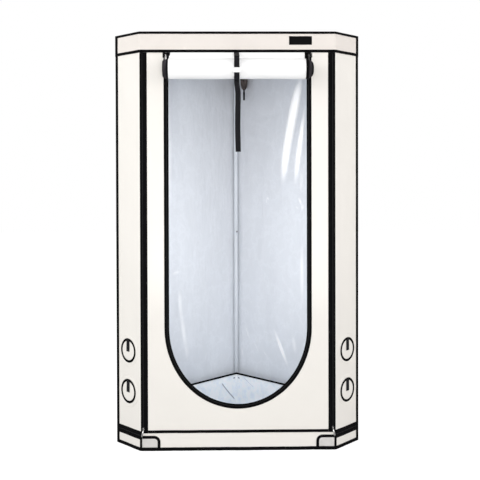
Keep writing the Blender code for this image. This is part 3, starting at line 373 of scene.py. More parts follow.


# Folds drawn one by one. On the band: place from the middle of the front and height in shares of the front's
# half and the tent's height, the fold's turn in degrees, then length, width and rise in shares of the band's
# height. On the back walls: place from the side seam in shares of the wall, then height, turn, length, width
# and rise in shares of the tent's height, and how strongly the crease's painted highlight shows.
WALL_FOLD_SHARES = {
    "right": [
        (0.462, 0.848, 107, 0.055, 0.0115, 0.0016, 0.9),
        (0.5, 0.785, 103, 0.075, 0.0125, 0.002, 1.0),
        (0.545, 0.7, 98, 0.05, 0.0105, 0.0016, 0.85),
        (0.412, 0.77, 100, 0.06, 0.006, 0.0012, 0.6),
        (0.438, 0.71, 99, 0.06, 0.0075, 0.0015, 0.95),
        (0.415, 0.64, 95, 0.04, 0.009, 0.001, 0.25),
        (0.695, 0.592, 20, 0.005, 0.0025, 0.0006, 0.6),
        (0.71, 0.586, 70, 0.004, 0.002, 0.0006, 0.5),
        (0.425, 0.588, 60, 0.009, 0.004, 0.0008, 0.5),
        (0.405, 0.572, 100, 0.008, 0.004, 0.0008, 0.5),
        (0.45, 0.57, 30, 0.006, 0.003, 0.0006, 0.4),
        (0.412, 0.4, 90, 0.08, 0.007, 0.0012, 0.4),
        (0.64, 0.455, 84, 0.09, 0.03, 0.0012, 0.1),
        (0.585, 0.19, 62, 0.046, 0.0055, 0.0014, 0.65),
        (0.475, 0.205, 80, 0.03, 0.009, 0.0012, 0.3),
        (0.88, 0.215, 66, 0.026, 0.004, 0.001, 0.3),
        (0.8, 0.18, 58, 0.024, 0.004, -0.001, 0.25),
        (0.72, 0.165, 55, 0.022, 0.0035, 0.001, 0.25),
        (0.93, 0.16, 70, 0.02, 0.0035, 0.001, 0.3),
        (0.8, 0.76, 12, 0.045, 0.007, -0.0012, 0),
        (0.7, 0.82, 170, 0.04, 0.006, 0.0012, 0),
        (0.62, 0.33, 100, 0.06, 0.01, 0.0012, 0.1),
        (0.76, 0.45, 96, 0.09, 0.012, -0.0014, 0),
    ],
    "left": [
        (0.395, 0.7, 90, 0.19, 0.011, 0.0012, 0.3),
        (0.62, 0.85, 70, 0.02, 0.005, 0.0012, 0.1),
        (0.7, 0.865, 76, 0.024, 0.0045, -0.0012, 0),
        (0.78, 0.84, 70, 0.022, 0.005, 0.0012, 0.1),
        (0.56, 0.78, 104, 0.06, 0.01, 0.0014, 0.05),
        (0.66, 0.56, 84, 0.08, 0.012, -0.0014, 0),
        (0.45, 0.4, 10, 0.018, 0.006, 0.001, 0.3),
        (0.48, 0.32, 94, 0.04, 0.008, 0.0012, 0.35),
        (0.51, 0.24, 99, 0.045, 0.008, 0.0012, 0.4),
        (0.54, 0.18, 84, 0.025, 0.01, -0.0012, 0.2),
        (0.6, 0.26, 66, 0.04, 0.008, 0.0012, 0.1),
        (0.7, 0.16, 70, 0.022, 0.005, 0.001, 0.2),
        (0.85, 0.14, 20, 0.02, 0.005, 0.0008, 0.1),
    ],
}
BAND_FOLD_SHARES = [
    (-0.93, 0.978, 58, 0.36, 0.06, 0.017),
    (-0.87, 0.975, 62, 0.36, 0.05, 0.013),
    (-0.81, 0.976, 57, 0.36, 0.06, 0.017),
    (-0.66, 0.977, 64, 0.34, 0.055, 0.012),
    (-0.53, 0.977, 66, 0.34, 0.05, 0.016),
    (-0.12, 0.976, 100, 0.26, 0.06, 0.007),
    (0.14, 0.975, 108, 0.28, 0.06, 0.008),
    (0.42, 0.977, 112, 0.26, 0.055, 0.009),
    (0.86, 0.976, 118, 0.28, 0.05, 0.01),
]


# The cover's soft ripples, each of two crossed waves: its strength as a share, how far the lean moves the
# first wave along and up, and each wave's length along, length up and shift. Then the puckers: strength,
# how far the lean moves the wave, and the wave.
LEAN_WAVE = (1.9, 1.3, 0.2)
RIPPLE_WAVES = [
    (0.8, 0.05, 0, (0.33, 0.9, 0.1), (0.9, -0.75, 0.3)),
    (0.45, 0, 0.04, (0.16, -0.62, 0.55), (0.8, 0.41, 0.8)),
    (0.25, 0.02, 0, (0.075, 0.33, 0.3), (-0.52, 0.23, 0.15)),
]
PUCKER_WAVES = [(1, 0.012, (0.047, 0.5, 0.1)), (0.6, 0, (0.029, -0.3, 0.4))]
SEAM_WAVES = [(1, 1, (0.9, 0.052, 0.2)), (0.6, -1, (0.8, 0.031, 0.6))]
BASE_REACH, BAND_REACH, ZIP_REACH, FOLD_REACH = 0.05, 0.04, 0.03, 0.02
PUCKER_PAST_FOLD = 0.012
STILL_REACH, FREE_REACH = 0.002, 0.05


def billow(place, height, out):
    """How far the cloth stands off its plane: crossed long waves, puckers beside the bindings and folds.

    The band's folds lift only what lies over the panels."""
    looks = bpy.context.scene.tent_looks
    height = np.asarray(height, float)
    round_place = np.mod(np.asarray(place, float), ROUND)
    place = np.where(round_place > ROUND / 2, round_place - ROUND, round_place)
    free = np.ones(np.broadcast(place, height).shape)
    for start, end in TURNS:
        outside = maximum(maximum(start - round_place, round_place - end), 0)
        free = free * smooth(outside, STILL_REACH, FREE_REACH)
    lean = 0.5 * wave(place, height, *LEAN_WAVE)
    ripple = sum(
        strength * wave(place + along * lean, height + up * lean, *first) * wave(place, height, *second)
        for strength, along, up, first, second in RIPPLE_WAVES
    )
    near_base = np.exp(-maximum(height - BINDING_WIDTH, 0) / BASE_REACH)
    near_band = np.exp(-np.abs(height - BAND_BOTTOM) / BAND_REACH)
    pucker = (near_base + 0.8 * near_band) * sum(
        strength * wave(place + along * lean, height, *shape) for strength, along, shape in PUCKER_WAVES
    )
    away = np.abs(place)
    beside = np.exp(-np.abs(away - FRONT_HALF + CORNER_ZIP_WIDTH) / ZIP_REACH)
    beside = beside + np.exp(-np.abs(away - FRONT_TURN[1] - PUCKER_PAST_FOLD) / FOLD_REACH)
    pucker = pucker + 0.7 * beside * sum(
        strength * wave(turn * lean, height, *shape) for strength, turn, shape in SEAM_WAVES
    )
    folds = 0
    for across, up, turn, length, width, rise in BAND_FOLD_SHARES:
        along = place - across * FRONT_HALF
        fold = fold_at(along, height - up * TENT_TOP, turn, length * BAND_TALL, width * BAND_TALL)
        folds = folds + rise * BAND_TALL * fold
    folds = folds * (out > PANEL_OUT + GAP / 2)
    for side in SIDES:
        folds = folds + TENT_TOP * sum(rise * fold for fold, rise, _ in wall_folds(side, place, height))
    aside, above = place - BACK_TURN[0] + CABLE_FROM_CORNER, height - ROOF_TOP + CABLE_BELOW_ROOF
    drawn = bump_at(hypot(aside, above), 1.6 * CABLE_BORE, CABLE_BORE)
    folds = folds + looks.ripple * drawn * sin(7 * arctan2(above, aside))
    return free * (looks.ripple * ripple + looks.pucker * 0.5 * pucker + folds)


def fold_at(along, up, turn, length, width):
    """A fold through a point: one along its ridge, fading with the distance from it and towards its ends."""
    turn = math.radians(turn)
    ridge = along * math.cos(turn) + up * math.sin(turn)
    away = up * math.cos(turn) - along * math.sin(turn)
    return bump_at(ridge, 0, length) * bump_at(away, 0, width)


def wall_folds(side, signed, height):
    """Each fold of a back wall at the given places, with its rise and the strength of its painted highlight.
    """
    run = BACK_SEAM - SIDE_SEAM
    for along, up, turn, length, width, rise, shine in WALL_FOLD_SHARES[side]:
        place = SIDES[side] * signed - SIDE_SEAM - along * run
        yield fold_at(place, height - up * TENT_TOP, turn, length * TENT_TOP, width * TENT_TOP), rise, shine


def cover(place, height, out, still=False):
    """A point of the cover: the axis point there, moved out along its outward way, with its billow."""
    place, height, out = broadcast_arrays(place, height, out)
    x, y, angle = station(place)
    reach = out if still else out + billow(place, height, out)
    return stack([x + reach * cos(angle), y + reach * sin(angle), height], -1)


def front_point(across, out, height):
    """A point in front of the door: how far right, out from the front poles' axes, and up."""
    across, out, height = broadcast_arrays(across, out, height)
    return stack([across, FRONT_Y - out, height], -1)


def lerp(first, second, share):
    return first * (1 - share) + second * share


def circle(count):
    """Angles once round, without the last, which is the first."""
    return linspace(0, tau, count, endpoint=False)


def squared(values, power):
    """A power that keeps the sign: it turns a circle's sine and cosine into a rounded square's."""
    return np.sign(values) * np.abs(values) ** power


def run_along(first, second):
    """Distance from its start to each point of a line, given by its two measures."""
    return concatenate([[0], np.cumsum(hypot(np.diff(first), np.diff(second)))])


def square_to(first, second, across):
    """A line moved sideways: each point by every distance across, square to the line there."""
    step_first, step_second = np.gradient(first), np.gradient(second)
    length = hypot(step_first, step_second)
    return (
        first[:, None] - (step_second / length)[:, None] * across,
        second[:, None] + (step_first / length)[:, None] * across,
    )


def steps_between(stops, spacing):
    """Rising values through each stop, about a spacing apart."""
    runs = [
        linspace(low, high, max(2, math.ceil((high - low) / spacing) + 1))[:-1]
        for low, high in zip(stops[:-1], stops[1:])
    ]
    return concatenate([*runs, [stops[-1]]])


def round_marks(first, last, spacing):
    """Places from first to last, close together in the turns."""
    stops = {first, last}
    for loop in (-1, 0):
        for mark in MARKS[1:-1]:
            if first < mark + loop * ROUND < last:
                stops.add(mark + loop * ROUND)
    stops = sorted(stops)
    runs = []
    for low, high in zip(stops[:-1], stops[1:]):
        middle = ((low + high) / 2) % ROUND
        bent = any(start < middle < end for start, end in TURNS)
        count = 6 if bent else max(1, math.ceil((high - low) / spacing))
        runs.append(linspace(low, high, count + 1)[:-1])
    return concatenate([*runs, [last]])


# Meshes from grids of points


def added(name, data):
    """A new object in the scene."""
    obj = bpy.data.objects.new(name, data)
    bpy.context.scene.collection.objects.link(obj)
    return obj


def grid_measures(points):
    """Each grid point's distances across and along, as means over the rows and the columns."""
    rows = np.cumsum(norm(np.diff(points, axis=0, append=points[:1]), axis=-1).mean(1))
    across = np.cumsum(norm(np.diff(points, axis=1, append=points[:, :1]), axis=-1).mean(0))
    rows, across = np.append(0, rows), np.append(0, across)
    return stack(broadcast_arrays(across[None, :], rows[:, None]), -1)


def surface(name, points, closed=(False, False), measure=None, caps=False, materials=()):
    """A mesh on a grid: each cell is a face that turns from the second parameter to the first.

    measure gives each grid point's place on the cloth in metres, for the UV map. caps draws each end row in
    to a point, and the doubles that this makes are merged."""
    points = np.asarray(points, float)
    measure = grid_measures(points) if measure is None else measure
    if caps:
        ends = np.broadcast_to(points[[0, -1]].mean(1, keepdims=True), (2, points.shape[1], 3))
        points = concatenate([ends[:1], points, ends[1:]])
        rows = len(points)
        measure = concatenate([measure[:1], measure[:rows - 2], measure[rows - 3:rows - 2], measure[-1:]])
    count, width = points.shape[:2]
    row = np.arange(count if closed[0] else count - 1)
    column = np.arange(width if closed[1] else width - 1)
    row, column = (grid.ravel() for grid in np.meshgrid(row, column, indexing="ij"))
    rows = stack([row, row, row + 1, row + 1], -1)
    columns = stack([column, column + 1, column + 1, column], -1)
    index = (rows % count) * width + columns % width
    mesh = bpy.data.meshes.new(name)
    mesh.vertices.add(count * width)
    mesh.vertices.foreach_set("co", points.reshape(-1))
    mesh.loops.add(index.size)
    mesh.loops.foreach_set("vertex_index", index.ravel())
    mesh.polygons.add(len(index))
    mesh.polygons.foreach_set("loop_start", np.arange(len(index)) * 4)
    mesh.update(calc_edges=True)
    layer = mesh.uv_layers.new(name="cloth")
    rows = minimum(rows, measure.shape[0] - 1)
    columns = minimum(columns, measure.shape[1] - 1)
    layer.data.foreach_set("uv", measure[rows, columns].reshape(-1))
    mesh.validate()
    mesh.shade_smooth()
    if caps or closed[0] or closed[1]:
        weld(mesh)
    obj = added(name, mesh)
    for material in materials:
        mesh.materials.append(material)
    return obj


def rod(name, points, material, measure=None):
    """A closed section carried along a line and drawn in to a point at both ends."""
    return surface(name, points, (False, True), measure, True, (material,))


def ring(name, points, material):
    """A closed section carried round to its start."""
    return surface(name, points, (True, True), None, False, (material,))


def cloth_sheet(name, s, z, out, materials, closed=False):
    """A sheet on the cover at a grid of places and heights, which are its map too."""
    measure = stack([s, z], -1)
    if closed:
        measure = concatenate([measure, measure[:, :1]], 1)
    return surface(name, cover(s, z, out), (False, closed), measure, False, materials)


@contextmanager
def opened(mesh):
    """A mesh opened for work on its faces, and written back after it."""
    work = bmesh.new()
    work.from_mesh(mesh)
    work.faces.ensure_lookup_table()
    yield work
    work.to_mesh(mesh)
    work.free()


def weld(mesh, turn_out=True):
    """Merges doubles, and turns the faces of a closed mesh out."""
    with opened(mesh) as work:
        bmesh.ops.remove_doubles(work, verts=work.verts, dist=1e-6)
        bmesh.ops.dissolve_degenerate(work, edges=work.edges, dist=1e-7)
        if turn_out:
            bmesh.ops.recalc_face_normals(work, faces=work.faces)


def joined(name, parts):
    """One object out of several, with edges that meet merged."""
    whole, *rest = parts
    with opened(whole.data) as work:
        for part in rest:
            work.from_mesh(part.data)
        bmesh.ops.remove_doubles(work, verts=work.verts, dist=2e-6)
    for part in rest:
        spare = part.data
        bpy.data.objects.remove(part)
        bpy.data.meshes.remove(spare)
    whole.name = whole.data.name = name
    return whole


def outward(obj):
    """Turns a wall's faces out: away from the tent's middle."""
    mesh = obj.data
    centres, normals = np.zeros((2, len(mesh.polygons) * 3))
    mesh.polygons.foreach_get("center", centres)
    mesh.polygons.foreach_get("normal", normals)
    inward = (centres.reshape(-1, 3)[:, :2] * normals.reshape(-1, 3)[:, :2]).sum(1) < 0
    with opened(mesh) as work:
        bmesh.ops.reverse_faces(work, faces=[work.faces[index] for index in np.flatnonzero(inward)])
    return obj


def faces_up(obj):
    """Merges a level sheet's doubles and turns its faces up."""
    weld(obj.data, False)
    with opened(obj.data) as work:
        bmesh.ops.reverse_faces(work, faces=[face for face in work.faces if face.normal.z < 0])
    return obj


def walled(obj, thickness, lined=False, offset=-1):
    """Gives a sheet its thickness, on its faces' inner side, with the second material inside if lined."""
    wall = obj.modifiers.new("cloth thickness", "SOLIDIFY")
    wall.thickness = thickness
    wall.offset = offset
    wall.material_offset = 1 if lined else 0
    return obj


def pill(width, thickness, count=16, squareness=5):
    """A flat closed section with rounded edges: a superellipse standing on nought. Gives across and up."""
    angle = circle(count)
    power = 2 / squareness
    return width / 2 * squared(cos(angle), power), thickness / 2 * (1 + squared(sin(angle), power))


def tape_section(marks, thickness, edge_share):
    """A tape laid over a turn: places out and back, and distances out with rounded ends."""
    share = (marks - marks[0]) / (marks[-1] - marks[0])
    edge = minimum(1, minimum(share, 1 - share) / edge_share)
    thick = thickness * np.sqrt(1 - (1 - edge) ** 2)
    return concatenate([marks, marks[::-1]]), concatenate([thick, np.zeros(len(marks))])


def tape_along(name, places, heights, width, thickness, material):
    """A tape on the cover: a pill section carried along a line of places and heights, square to it."""
    places, heights = broadcast_arrays(np.asarray(places, float), np.asarray(heights, float))
    across, up = pill(width, thickness)
    return rod(name, cover(*square_to(places, heights, across), BAND_IN + up), material)


def lathe(name, centre, way, up, profile, sides, material, ripple=None):
    """A turned shape: a profile of distances along the way and radii, carried round the way."""
    way, up = Vector(way).normalized(), Vector(up).normalized()
    side = way.cross(up)
    along, radius = (array(values, float)[:, None] for values in zip(*profile))
    angle = circle(sides)[None, :]
    if ripple is not None:
        radius = radius * ripple(along, angle)
    points = array(centre) + along[..., None] * array(way)
    for reach, axis in ((cos(angle), up), (sin(angle), side)):
        points = points + (radius * reach)[..., None] * array(axis)
    return rod(name, points, material)


def settle(obj, slot, *nodes, body="tent"):
    """Puts a finished piece on its body and hides the plain solids that it stands for. Its slot, a finish's
    name, is not used.
    """
    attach(obj, body)
    if nodes:
        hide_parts(*nodes)
    return obj


# Materials


def math_operator(operation, turned=False):
    """An operator that adds a Math node; turned takes the other value first."""
    def operator(self, other):
        return self.maths(operation, *((other, self) if turned else (self, other)))
    return operator


class Value:
    """A socket in a material. Python's operators on it add Math nodes."""

    def __init__(self, finish, socket):
        self.finish, self.socket = finish, socket

    def maths(self, operation, *values):
        return self.finish.node("ShaderNodeMath", {"operation": operation}, dict(enumerate(values)))

    __add__ = __radd__ = math_operator("ADD")
    __sub__ = math_operator("SUBTRACT")
    __rsub__ = math_operator("SUBTRACT", True)
    __mul__ = __rmul__ = math_operator("MULTIPLY")
    __truediv__ = math_operator("DIVIDE")

    def sine(self):
        return self.maths("SINE", self)

    def size(self):
        return self.maths("ABSOLUTE", self)

    def between(self, low, high):
        """Nought at low and one at high, held there beyond."""
        sockets = {0: self, 1: low, 2: high, 3: 0.0, 4: 1.0}
        return self.finish.node("ShaderNodeMapRange", {"clamp": True}, sockets)


class Finish:
    """One material: a Principled shader, and one way to add any other node."""

    def __init__(self, name, colour, roughness, metallic=0.0, **constants):
        self.material = bpy.data.materials.new(name)
        self.material.use_nodes = True
        self.nodes, self.links = self.material.node_tree.nodes, self.material.node_tree.links
        self.shader = self.nodes["Principled BSDF"]
        basic = {"Base Color": colour, "Roughness": roughness, "Metallic": metallic}
        self.set(self.shader, {**basic, **constants})

    def set(self, node, sockets):
        for key, value in sockets.items():
            socket = node.inputs[key]
            if isinstance(value, Value):
                self.links.new(value.socket, socket)
            elif isinstance(value, bpy.types.NodeSocket):
                self.links.new(value, socket)
            elif hasattr(socket.default_value, "__len__") and len(socket.default_value) == 4:
                socket.default_value = (*value, 1)
            else:
                socket.default_value = value

    def node(self, kind, settings=None, sockets=None, output=0):
        """Adds a node: its settings first, then its sockets' values or links."""
        node = self.nodes.new(kind)
        for key, value in (settings or {}).items():
            setattr(node, key, value)
        self.set(node, sockets or {})
        return Value(self, node.outputs[output])

    def spot(self):
        """Object coordinates."""
        return self.node("ShaderNodeTexCoord", output="Object")

    def cloth(self):
        """The cloth's own map, in metres along and up."""
        return self.node("ShaderNodeUVMap", {"uv_map": "cloth"})

    def part(self, vector, axis):
        return self.node("ShaderNodeSeparateXYZ", None, {0: vector}, axis)

    def cloud(self, vector, scale, detail=3.0, roughness=0.5, stretch=(1, 1, 1)):
        """Soft noise from nought to one, with a stretch for each way."""
        spread = self.node("ShaderNodeMapping", None, {"Vector": vector, "Scale": stretch})
        sockets = {"Vector": spread, "Scale": scale, "Detail": detail, "Roughness": roughness}
        return self.node("ShaderNodeTexNoise", {"noise_dimensions": "3D"}, sockets, "Fac")

    def blend(self, share, first, second):
        """A colour between two."""
        return self.node("ShaderNodeMix", {"data_type": "RGBA"}, {0: share, 6: first, 7: second}, 2)

    def bumps(self, height, distance, strength=1.0, normal=None):
        """The way the surface faces, with bumps of a distance in metres over those of another normal."""
        under = {} if normal is None else {"Normal": normal}
        sockets = {"Height": height, "Distance": distance, "Strength": strength, **under}
        return self.node("ShaderNodeBump", None, sockets, "Normal")

    def ribs(self, axis, pitch):
        """A sine along one of the cloth's measures, a pitch from rib to rib."""
        return (self.part(self.cloth(), axis) * (tau / pitch)).sine()

    def weave(self, pitch):
        """Plain weave: crossed sines of the cloth's two measures, a thread's pitch apart."""
        return self.ribs("X", pitch) * self.ribs("Y", pitch)


def scaled(share, colour):
    return tuple(share * part for part in colour)


def stored(colour, roughness, metallic=0.0, specular=0.5, glow=0.0):
    """Makes a material once and then shares it. Its colour is three numbers, or the name of one that a user
    sets. The function below it gives what its shader's sockets take."""
    def wrap(maker):
        def shared():
            name, looks = maker.__name__, bpy.context.scene.tent_looks
            if name not in bpy.data.materials:
                plain = tuple(getattr(looks, colour)) if isinstance(colour, str) else colour
                constants = {"Specular IOR Level": specular, "Emission Strength": glow}
                finish = Finish(name, plain, roughness, metallic, **constants)
                finish.set(finish.shader, maker(finish, plain))
            return bpy.data.materials[name]
        return shared
    return wrap


@stored("cover", 0.62)
def cover_cloth(finish, ivory):
    """Ivory coated oxford cloth: plain weave, faint mottling, a little greyer towards the ground."""
    spot = finish.spot()
    mottle = finish.cloud(spot, 5.0, 4.0)
    low = 1 - finish.part(spot, "Z").between(0.0, 0.6)
    grey = (mottle.between(0.42, 0.75) * 0.35 + low * 0.35).between(0, 1)
    soft = finish.bumps(finish.cloud(spot, 26.0, 4.0, 0.6), 0.0009, 0.55)
    return {
        "Base Color": finish.blend(grey, ivory, scaled(0.955, ivory)),
        "Roughness": mottle * 0.12 + 0.56,
        "Normal": finish.bumps(finish.weave(COVER_THREAD), 0.00005, 0.4, soft),
    }


@stored("cover", 0.62)
def band_cloth(finish, ivory):
    """The same oxford cloth, lying double over the rails, with painted shade: its colour is a darker copy of
    the cover's, with soft cross creases.
    """
    # Painted shade: a darker copy of the cover's colour.
    painted_shade_ivory = tuple(dim * part for dim, part in zip((0.935, 0.905, 0.90), ivory))
    mottle = finish.cloud(finish.spot(), 9.0, 4.0)
    soft = finish.bumps(finish.cloud(finish.cloth(), 16.0, 4.0, 0.6, (1.0, 0.6, 1)), 0.0024, 0.6)
    return {
        "Base Color": finish.blend(mottle.between(0.3, 0.75), painted_shade_ivory, scaled(0.97, painted_shade_ivory)),
        "Normal": finish.bumps(finish.weave(COVER_THREAD), 0.00005, 0.4, soft),
    }


@stored("lining", 0.34, 0.12, glow=LINING_HIGHLIGHT_GLOW)
def wall_lining(finish, pale):
    """Reflective lining: a crumpled film with long creases whose ridges carry a painted highlight that glows,
    and painted shade that darkens it up in the back corner.
    """
    spot, cloth = finish.spot(), finish.cloth()
    # Painted highlight along the crease ridges: it whitens the colour and glows as emission.
    shine = finish.node("ShaderNodeAttribute", {"attribute_name": "shine"}, None, "Fac")
    mottle = finish.cloud(cloth, 3.0, 3.0, 0.5, (1.0, 0.5, 1))
    streak = finish.cloud(cloth, 6.0, 4.0, 0.6, (1.8, 0.45, 1))
    marble = finish.cloud(cloth, 9.0, 6.0, 0.62, (1.0, 0.8, 1))
    vein = 1 - ((marble - 0.5).size() * 22.0).between(0, 1)
    share = mottle.between(0.3, 0.7) * 0.5 + streak.between(0.35, 0.7) * 0.3 + vein * 0.35
    dim = finish.blend(share, scaled(0.92, pale), scaled(1.03, pale))
    # Painted shade: the colour is darkened near the back corner, more so higher up the wall.
    off_corner = (finish.part(spot, "X").size() / PAINTED_SHADE_REACH).between(0, 1)
    corner = (1 - off_corner) * finish.part(spot, "Z").between(PAINTED_SHADE_LOW, PAINTED_SHADE_TOP)
    painted_corner_shade = finish.blend(corner * PAINTED_SHADE_SHARE, dim, (0.5, 0.5, 0.52))
    broad = finish.bumps(finish.cloud(cloth, 5.5, 3.0, 0.55, (2.2, 0.55, 1)), 0.014, 0.6)
    crumple = finish.cloud(cloth, 17.0, 4.0, 0.6, (1.6, 0.8, 1))
    return {
        "Base Color": finish.blend(shine.between(0.1, 0.75), painted_corner_shade, (1.0, 1.0, 1.0)),
        "Roughness": mottle * 0.16 + 0.26 - shine * 0.1,
        "Normal": finish.bumps(crumple, 0.0034, 0.6, broad),
        "Emission Color": finish.blend(shine.between(0.15, 0.9), (0, 0, 0), (1.0, 1.0, 1.0)),
    }


@stored("tape", 0.75, specular=0.05)
def black_binding(finish, black):
    """Black grosgrain tape: fine cross ribs, a little dusty."""
    dust = finish.cloud(finish.spot(), 40.0, 3.0)
    return {
        "Base Color": finish.blend(dust.between(0.45, 0.8) * 0.5, black, (0.008, 0.008, 0.009)),
        "Normal": finish.bumps(finish.ribs("Y", 0.0012), 0.00008, 0.5),
    }


@stored("tape", 0.75, specular=0.05)
def rolled_edge_cloth(finish, black):
    """Black zip tape seen edge on in the roll: a greyer band with fine streaks between black edges."""
    spot = finish.spot()
    middle = DOOR_HALF_WIDTH + DOOR_ZIP_WIDTH / 2
    away = (finish.part(spot, "X").size() - middle).size() / DOOR_ZIP_WIDTH
    streak = finish.cloud(spot, 40.0, 3.0, 0.5, (9.0, 0.4, 0.4))
    grey = (1 - away.between(0.22, 0.40)) * streak.between(0.30, 0.62)
    return {
        "Base Color": finish.blend(grey, black, (0.055, 0.050, 0.057)),
        "Normal": finish.bumps(streak, 0.0003, 0.4),
    }


@stored((0.004, 0.004, 0.0045), 0.4, specular=0.16)
def zip_teeth(finish, black):
    """Black nylon coil with a slight shine."""
    return {"Roughness": finish.cloud(finish.spot(), 60.0, 2.0) * 0.2 + 0.26}


@stored("tape", 0.6, specular=0.1)
def webbing(finish, black):
    """Black polypropylene webbing in a chevron weave."""
    up = finish.part(finish.cloth(), "Y")
    chevron = (finish.ribs("X", 0.0031).size() * 1.6 + up * (tau / 0.0021)).sine()
    return {
        "Base Color": finish.blend(chevron.between(-0.4, 1.0), black, (0.020, 0.019, 0.024)),
        "Normal": finish.bumps(chevron, 0.00022, 0.7),
    }


@stored((0.56, 0.55, 0.545), 0.25, 1.0)
def nickel_plate(finish, nickel):
    """Bright nickel with faint brushing and handling marks."""
    marks = finish.cloud(finish.spot(), 300.0, 3.0, 0.5, (1, 1, 0.1))
    return {"Roughness": marks * 0.25 + 0.14, "Normal": finish.bumps(marks, 0.00003, 0.4)}


@stored((0.012, 0.012, 0.013), 0.45, 0.1, specular=0.3)
def dark_lacquer(finish, black):
    """Black lacquered zinc of the sliders and the snap button, worn to bare metal in small spots."""
    worn = finish.cloud(finish.spot(), 420.0, 3.0)
    return {
        "Base Color": finish.blend(worn.between(0.58, 0.68), black, (0.30, 0.29, 0.28)),
        "Roughness": worn * 0.3 + 0.3,
        "Normal": finish.bumps(worn, 0.00003, 0.4),
    }


@stored((0.86, 0.86, 0.855), 0.36)
def buckle_plastic(finish, white):
    """White moulded plastic, slightly glossy, with a fine spark finish."""
    grain = finish.cloud(finish.spot(), 900.0, 2.0)
    return {"Roughness": grain * 0.12 + 0.3, "Normal": finish.bumps(grain, 0.00003, 0.4)}


@stored("tube", 0.34)
def tube_coat(finish, white):
    """White powder coat with a faint orange peel."""
    spot = finish.spot()
    peel = finish.cloud(spot, 420.0, 2.0)
    return {
        "Base Color": finish.blend(finish.cloud(spot, 6.0).between(0.4, 0.8), white, scaled(0.95, white)),
        "Roughness": peel * 0.1 + 0.28,
        "Normal": finish.bumps(peel, 0.00004, 0.4),
    }


@stored((0.56, 0.57, 0.59), 0.38, 0.9)
def zinc_plate(finish, zinc):
    """Dull zinc with drawn marks and slightly darker patches."""
    spangle = finish.cloud(finish.spot(), 70.0, 4.0)
    return {
        "Base Color": finish.blend(spangle.between(0.35, 0.7), zinc, (0.44, 0.45, 0.48)),
        "Roughness": spangle * 0.3 + 0.24,
        "Normal": finish.bumps(spangle, 0.0001, 0.4),
    }


@stored((0.035, 0.028, 0.025), 0.75)
def dark_sleeve_cloth(finish, dark):
    """Dark brown-black double cloth, gathered, with a plain weave."""
    weave = finish.weave(SLEEVE_THREAD)
    faded = finish.cloud(finish.spot(), 34.0, 2.0)
    brown = finish.blend(weave.between(-1, 1), (0.020, 0.014, 0.013), (0.045, 0.033, 0.029))
    return {
        "Base Color": finish.blend(faded.between(0.5, 0.72), brown, (0.11, 0.085, 0.075)),
        "Normal": finish.bumps(weave, 0.0001, 0.6),
    }


@stored("patch", 0.75)
def patch_cloth(finish, grey):
    """Light grey oxford cloth of the corner patches."""
    mottle = finish.cloud(finish.spot(), 30.0, 4.0)
    soft = finish.bumps(mottle, 0.001, 0.5)
    return {
        "Base Color": finish.blend(mottle.between(0.35, 0.7), grey, scaled(0.9, grey)),
        "Normal": finish.bumps(finish.weave(PATCH_THREAD), 0.0001, 0.5, soft),
    }


@stored("door", 0.5)
def door_cloth(finish, white):
    """The rolled door's bright white coated side, softly creased along the roll."""
    spot = finish.spot()
    crease = finish.cloud(spot, 12.0, 4.0, 0.55, (1.0, 3.0, 3.0))
    soft = finish.bumps(crease, 0.004, 0.4)
    return {
        "Roughness": crease * 0.2 + 0.4,
        "Normal": finish.bumps(finish.cloud(spot, 60.0, 3.0), 0.0004, 0.4, soft),
    }


@stored((0.97, 0.985, 1.0), 0.3, glow=TRAY_HIGHLIGHT_GLOW)
def tray_film(finish, pale):
    """Pale coated cloth of the floor tray, with long crossing creases from being folded, painted shade along
    two creases, and painted highlights over its crumples that glow.
    """
    spot = finish.spot()
    x, y, z = (finish.part(spot, axis) for axis in "XYZ")
    warp = finish.cloud(spot, 4.0, 2.0)
    crossing = (((x + y) * 16.0 + warp * 2.0).sine() * ((x - y) * 13.0 + warp * 2.0).sine()).size()
    crumple = finish.cloud(spot, 22.0, 5.0, 0.65)
    tint = finish.blend(crumple.between(0.36, 0.62), pale, (0.84, 0.89, 0.945))
    # Painted shade along the creases.
    for *line, depth in TRAY_CREASE_SHADE_SHARES:
        tint = finish.blend(crease_line(x, z, warp, *line) * depth, tint, (0.14, 0.14, 0.16))
    return {
        "Base Color": tint,
        "Roughness": crumple * 0.2 + 0.2,
        "Normal": finish.bumps(crumple, 0.006, 0.5, finish.bumps(crossing, 0.006, 0.5)),
        # Painted highlights: the crumples glow, most where the colour is palest.
        "Emission Color": finish.blend(crumple.between(0.30, 0.64), (1.35, 1.48, 1.65), (0.38, 0.45, 0.55)),
    }


def crease_line(x, z, warp, first_x, first_z, last_x, last_z, width):
    """Mask of a painted crease shade: one along a line on the tray's back walls, nought away from it."""
    start, end = (first_x * HALF_SPAN, first_z * TRAY_HEIGHT), (last_x * HALF_SPAN, last_z * TRAY_HEIGHT)
    run, rise = end[0] - start[0], end[1] - start[1]
    length = math.hypot(run, rise)
    right, up = x - start[0], z - start[1]
    along = right * (run / length) + up * (rise / length)
    away = (up * (run / length) - right * (rise / length) + (warp - 0.5) * 0.02).size()
    near = 1 - away.between(0.3 * width * HALF_SPAN, width * HALF_SPAN)
    return near * along.between(0, 0.1 * length) * (1 - along.between(0.9 * length, length))


@stored("tape", 0.6, specular=0.06)
def label_cloth(finish, black):
    """The bare black label: smooth coated cloth with a fine weave."""
    return {"Normal": finish.bumps(finish.weave(LABEL_THREAD), 0.00004, 0.5)}


# The tubes


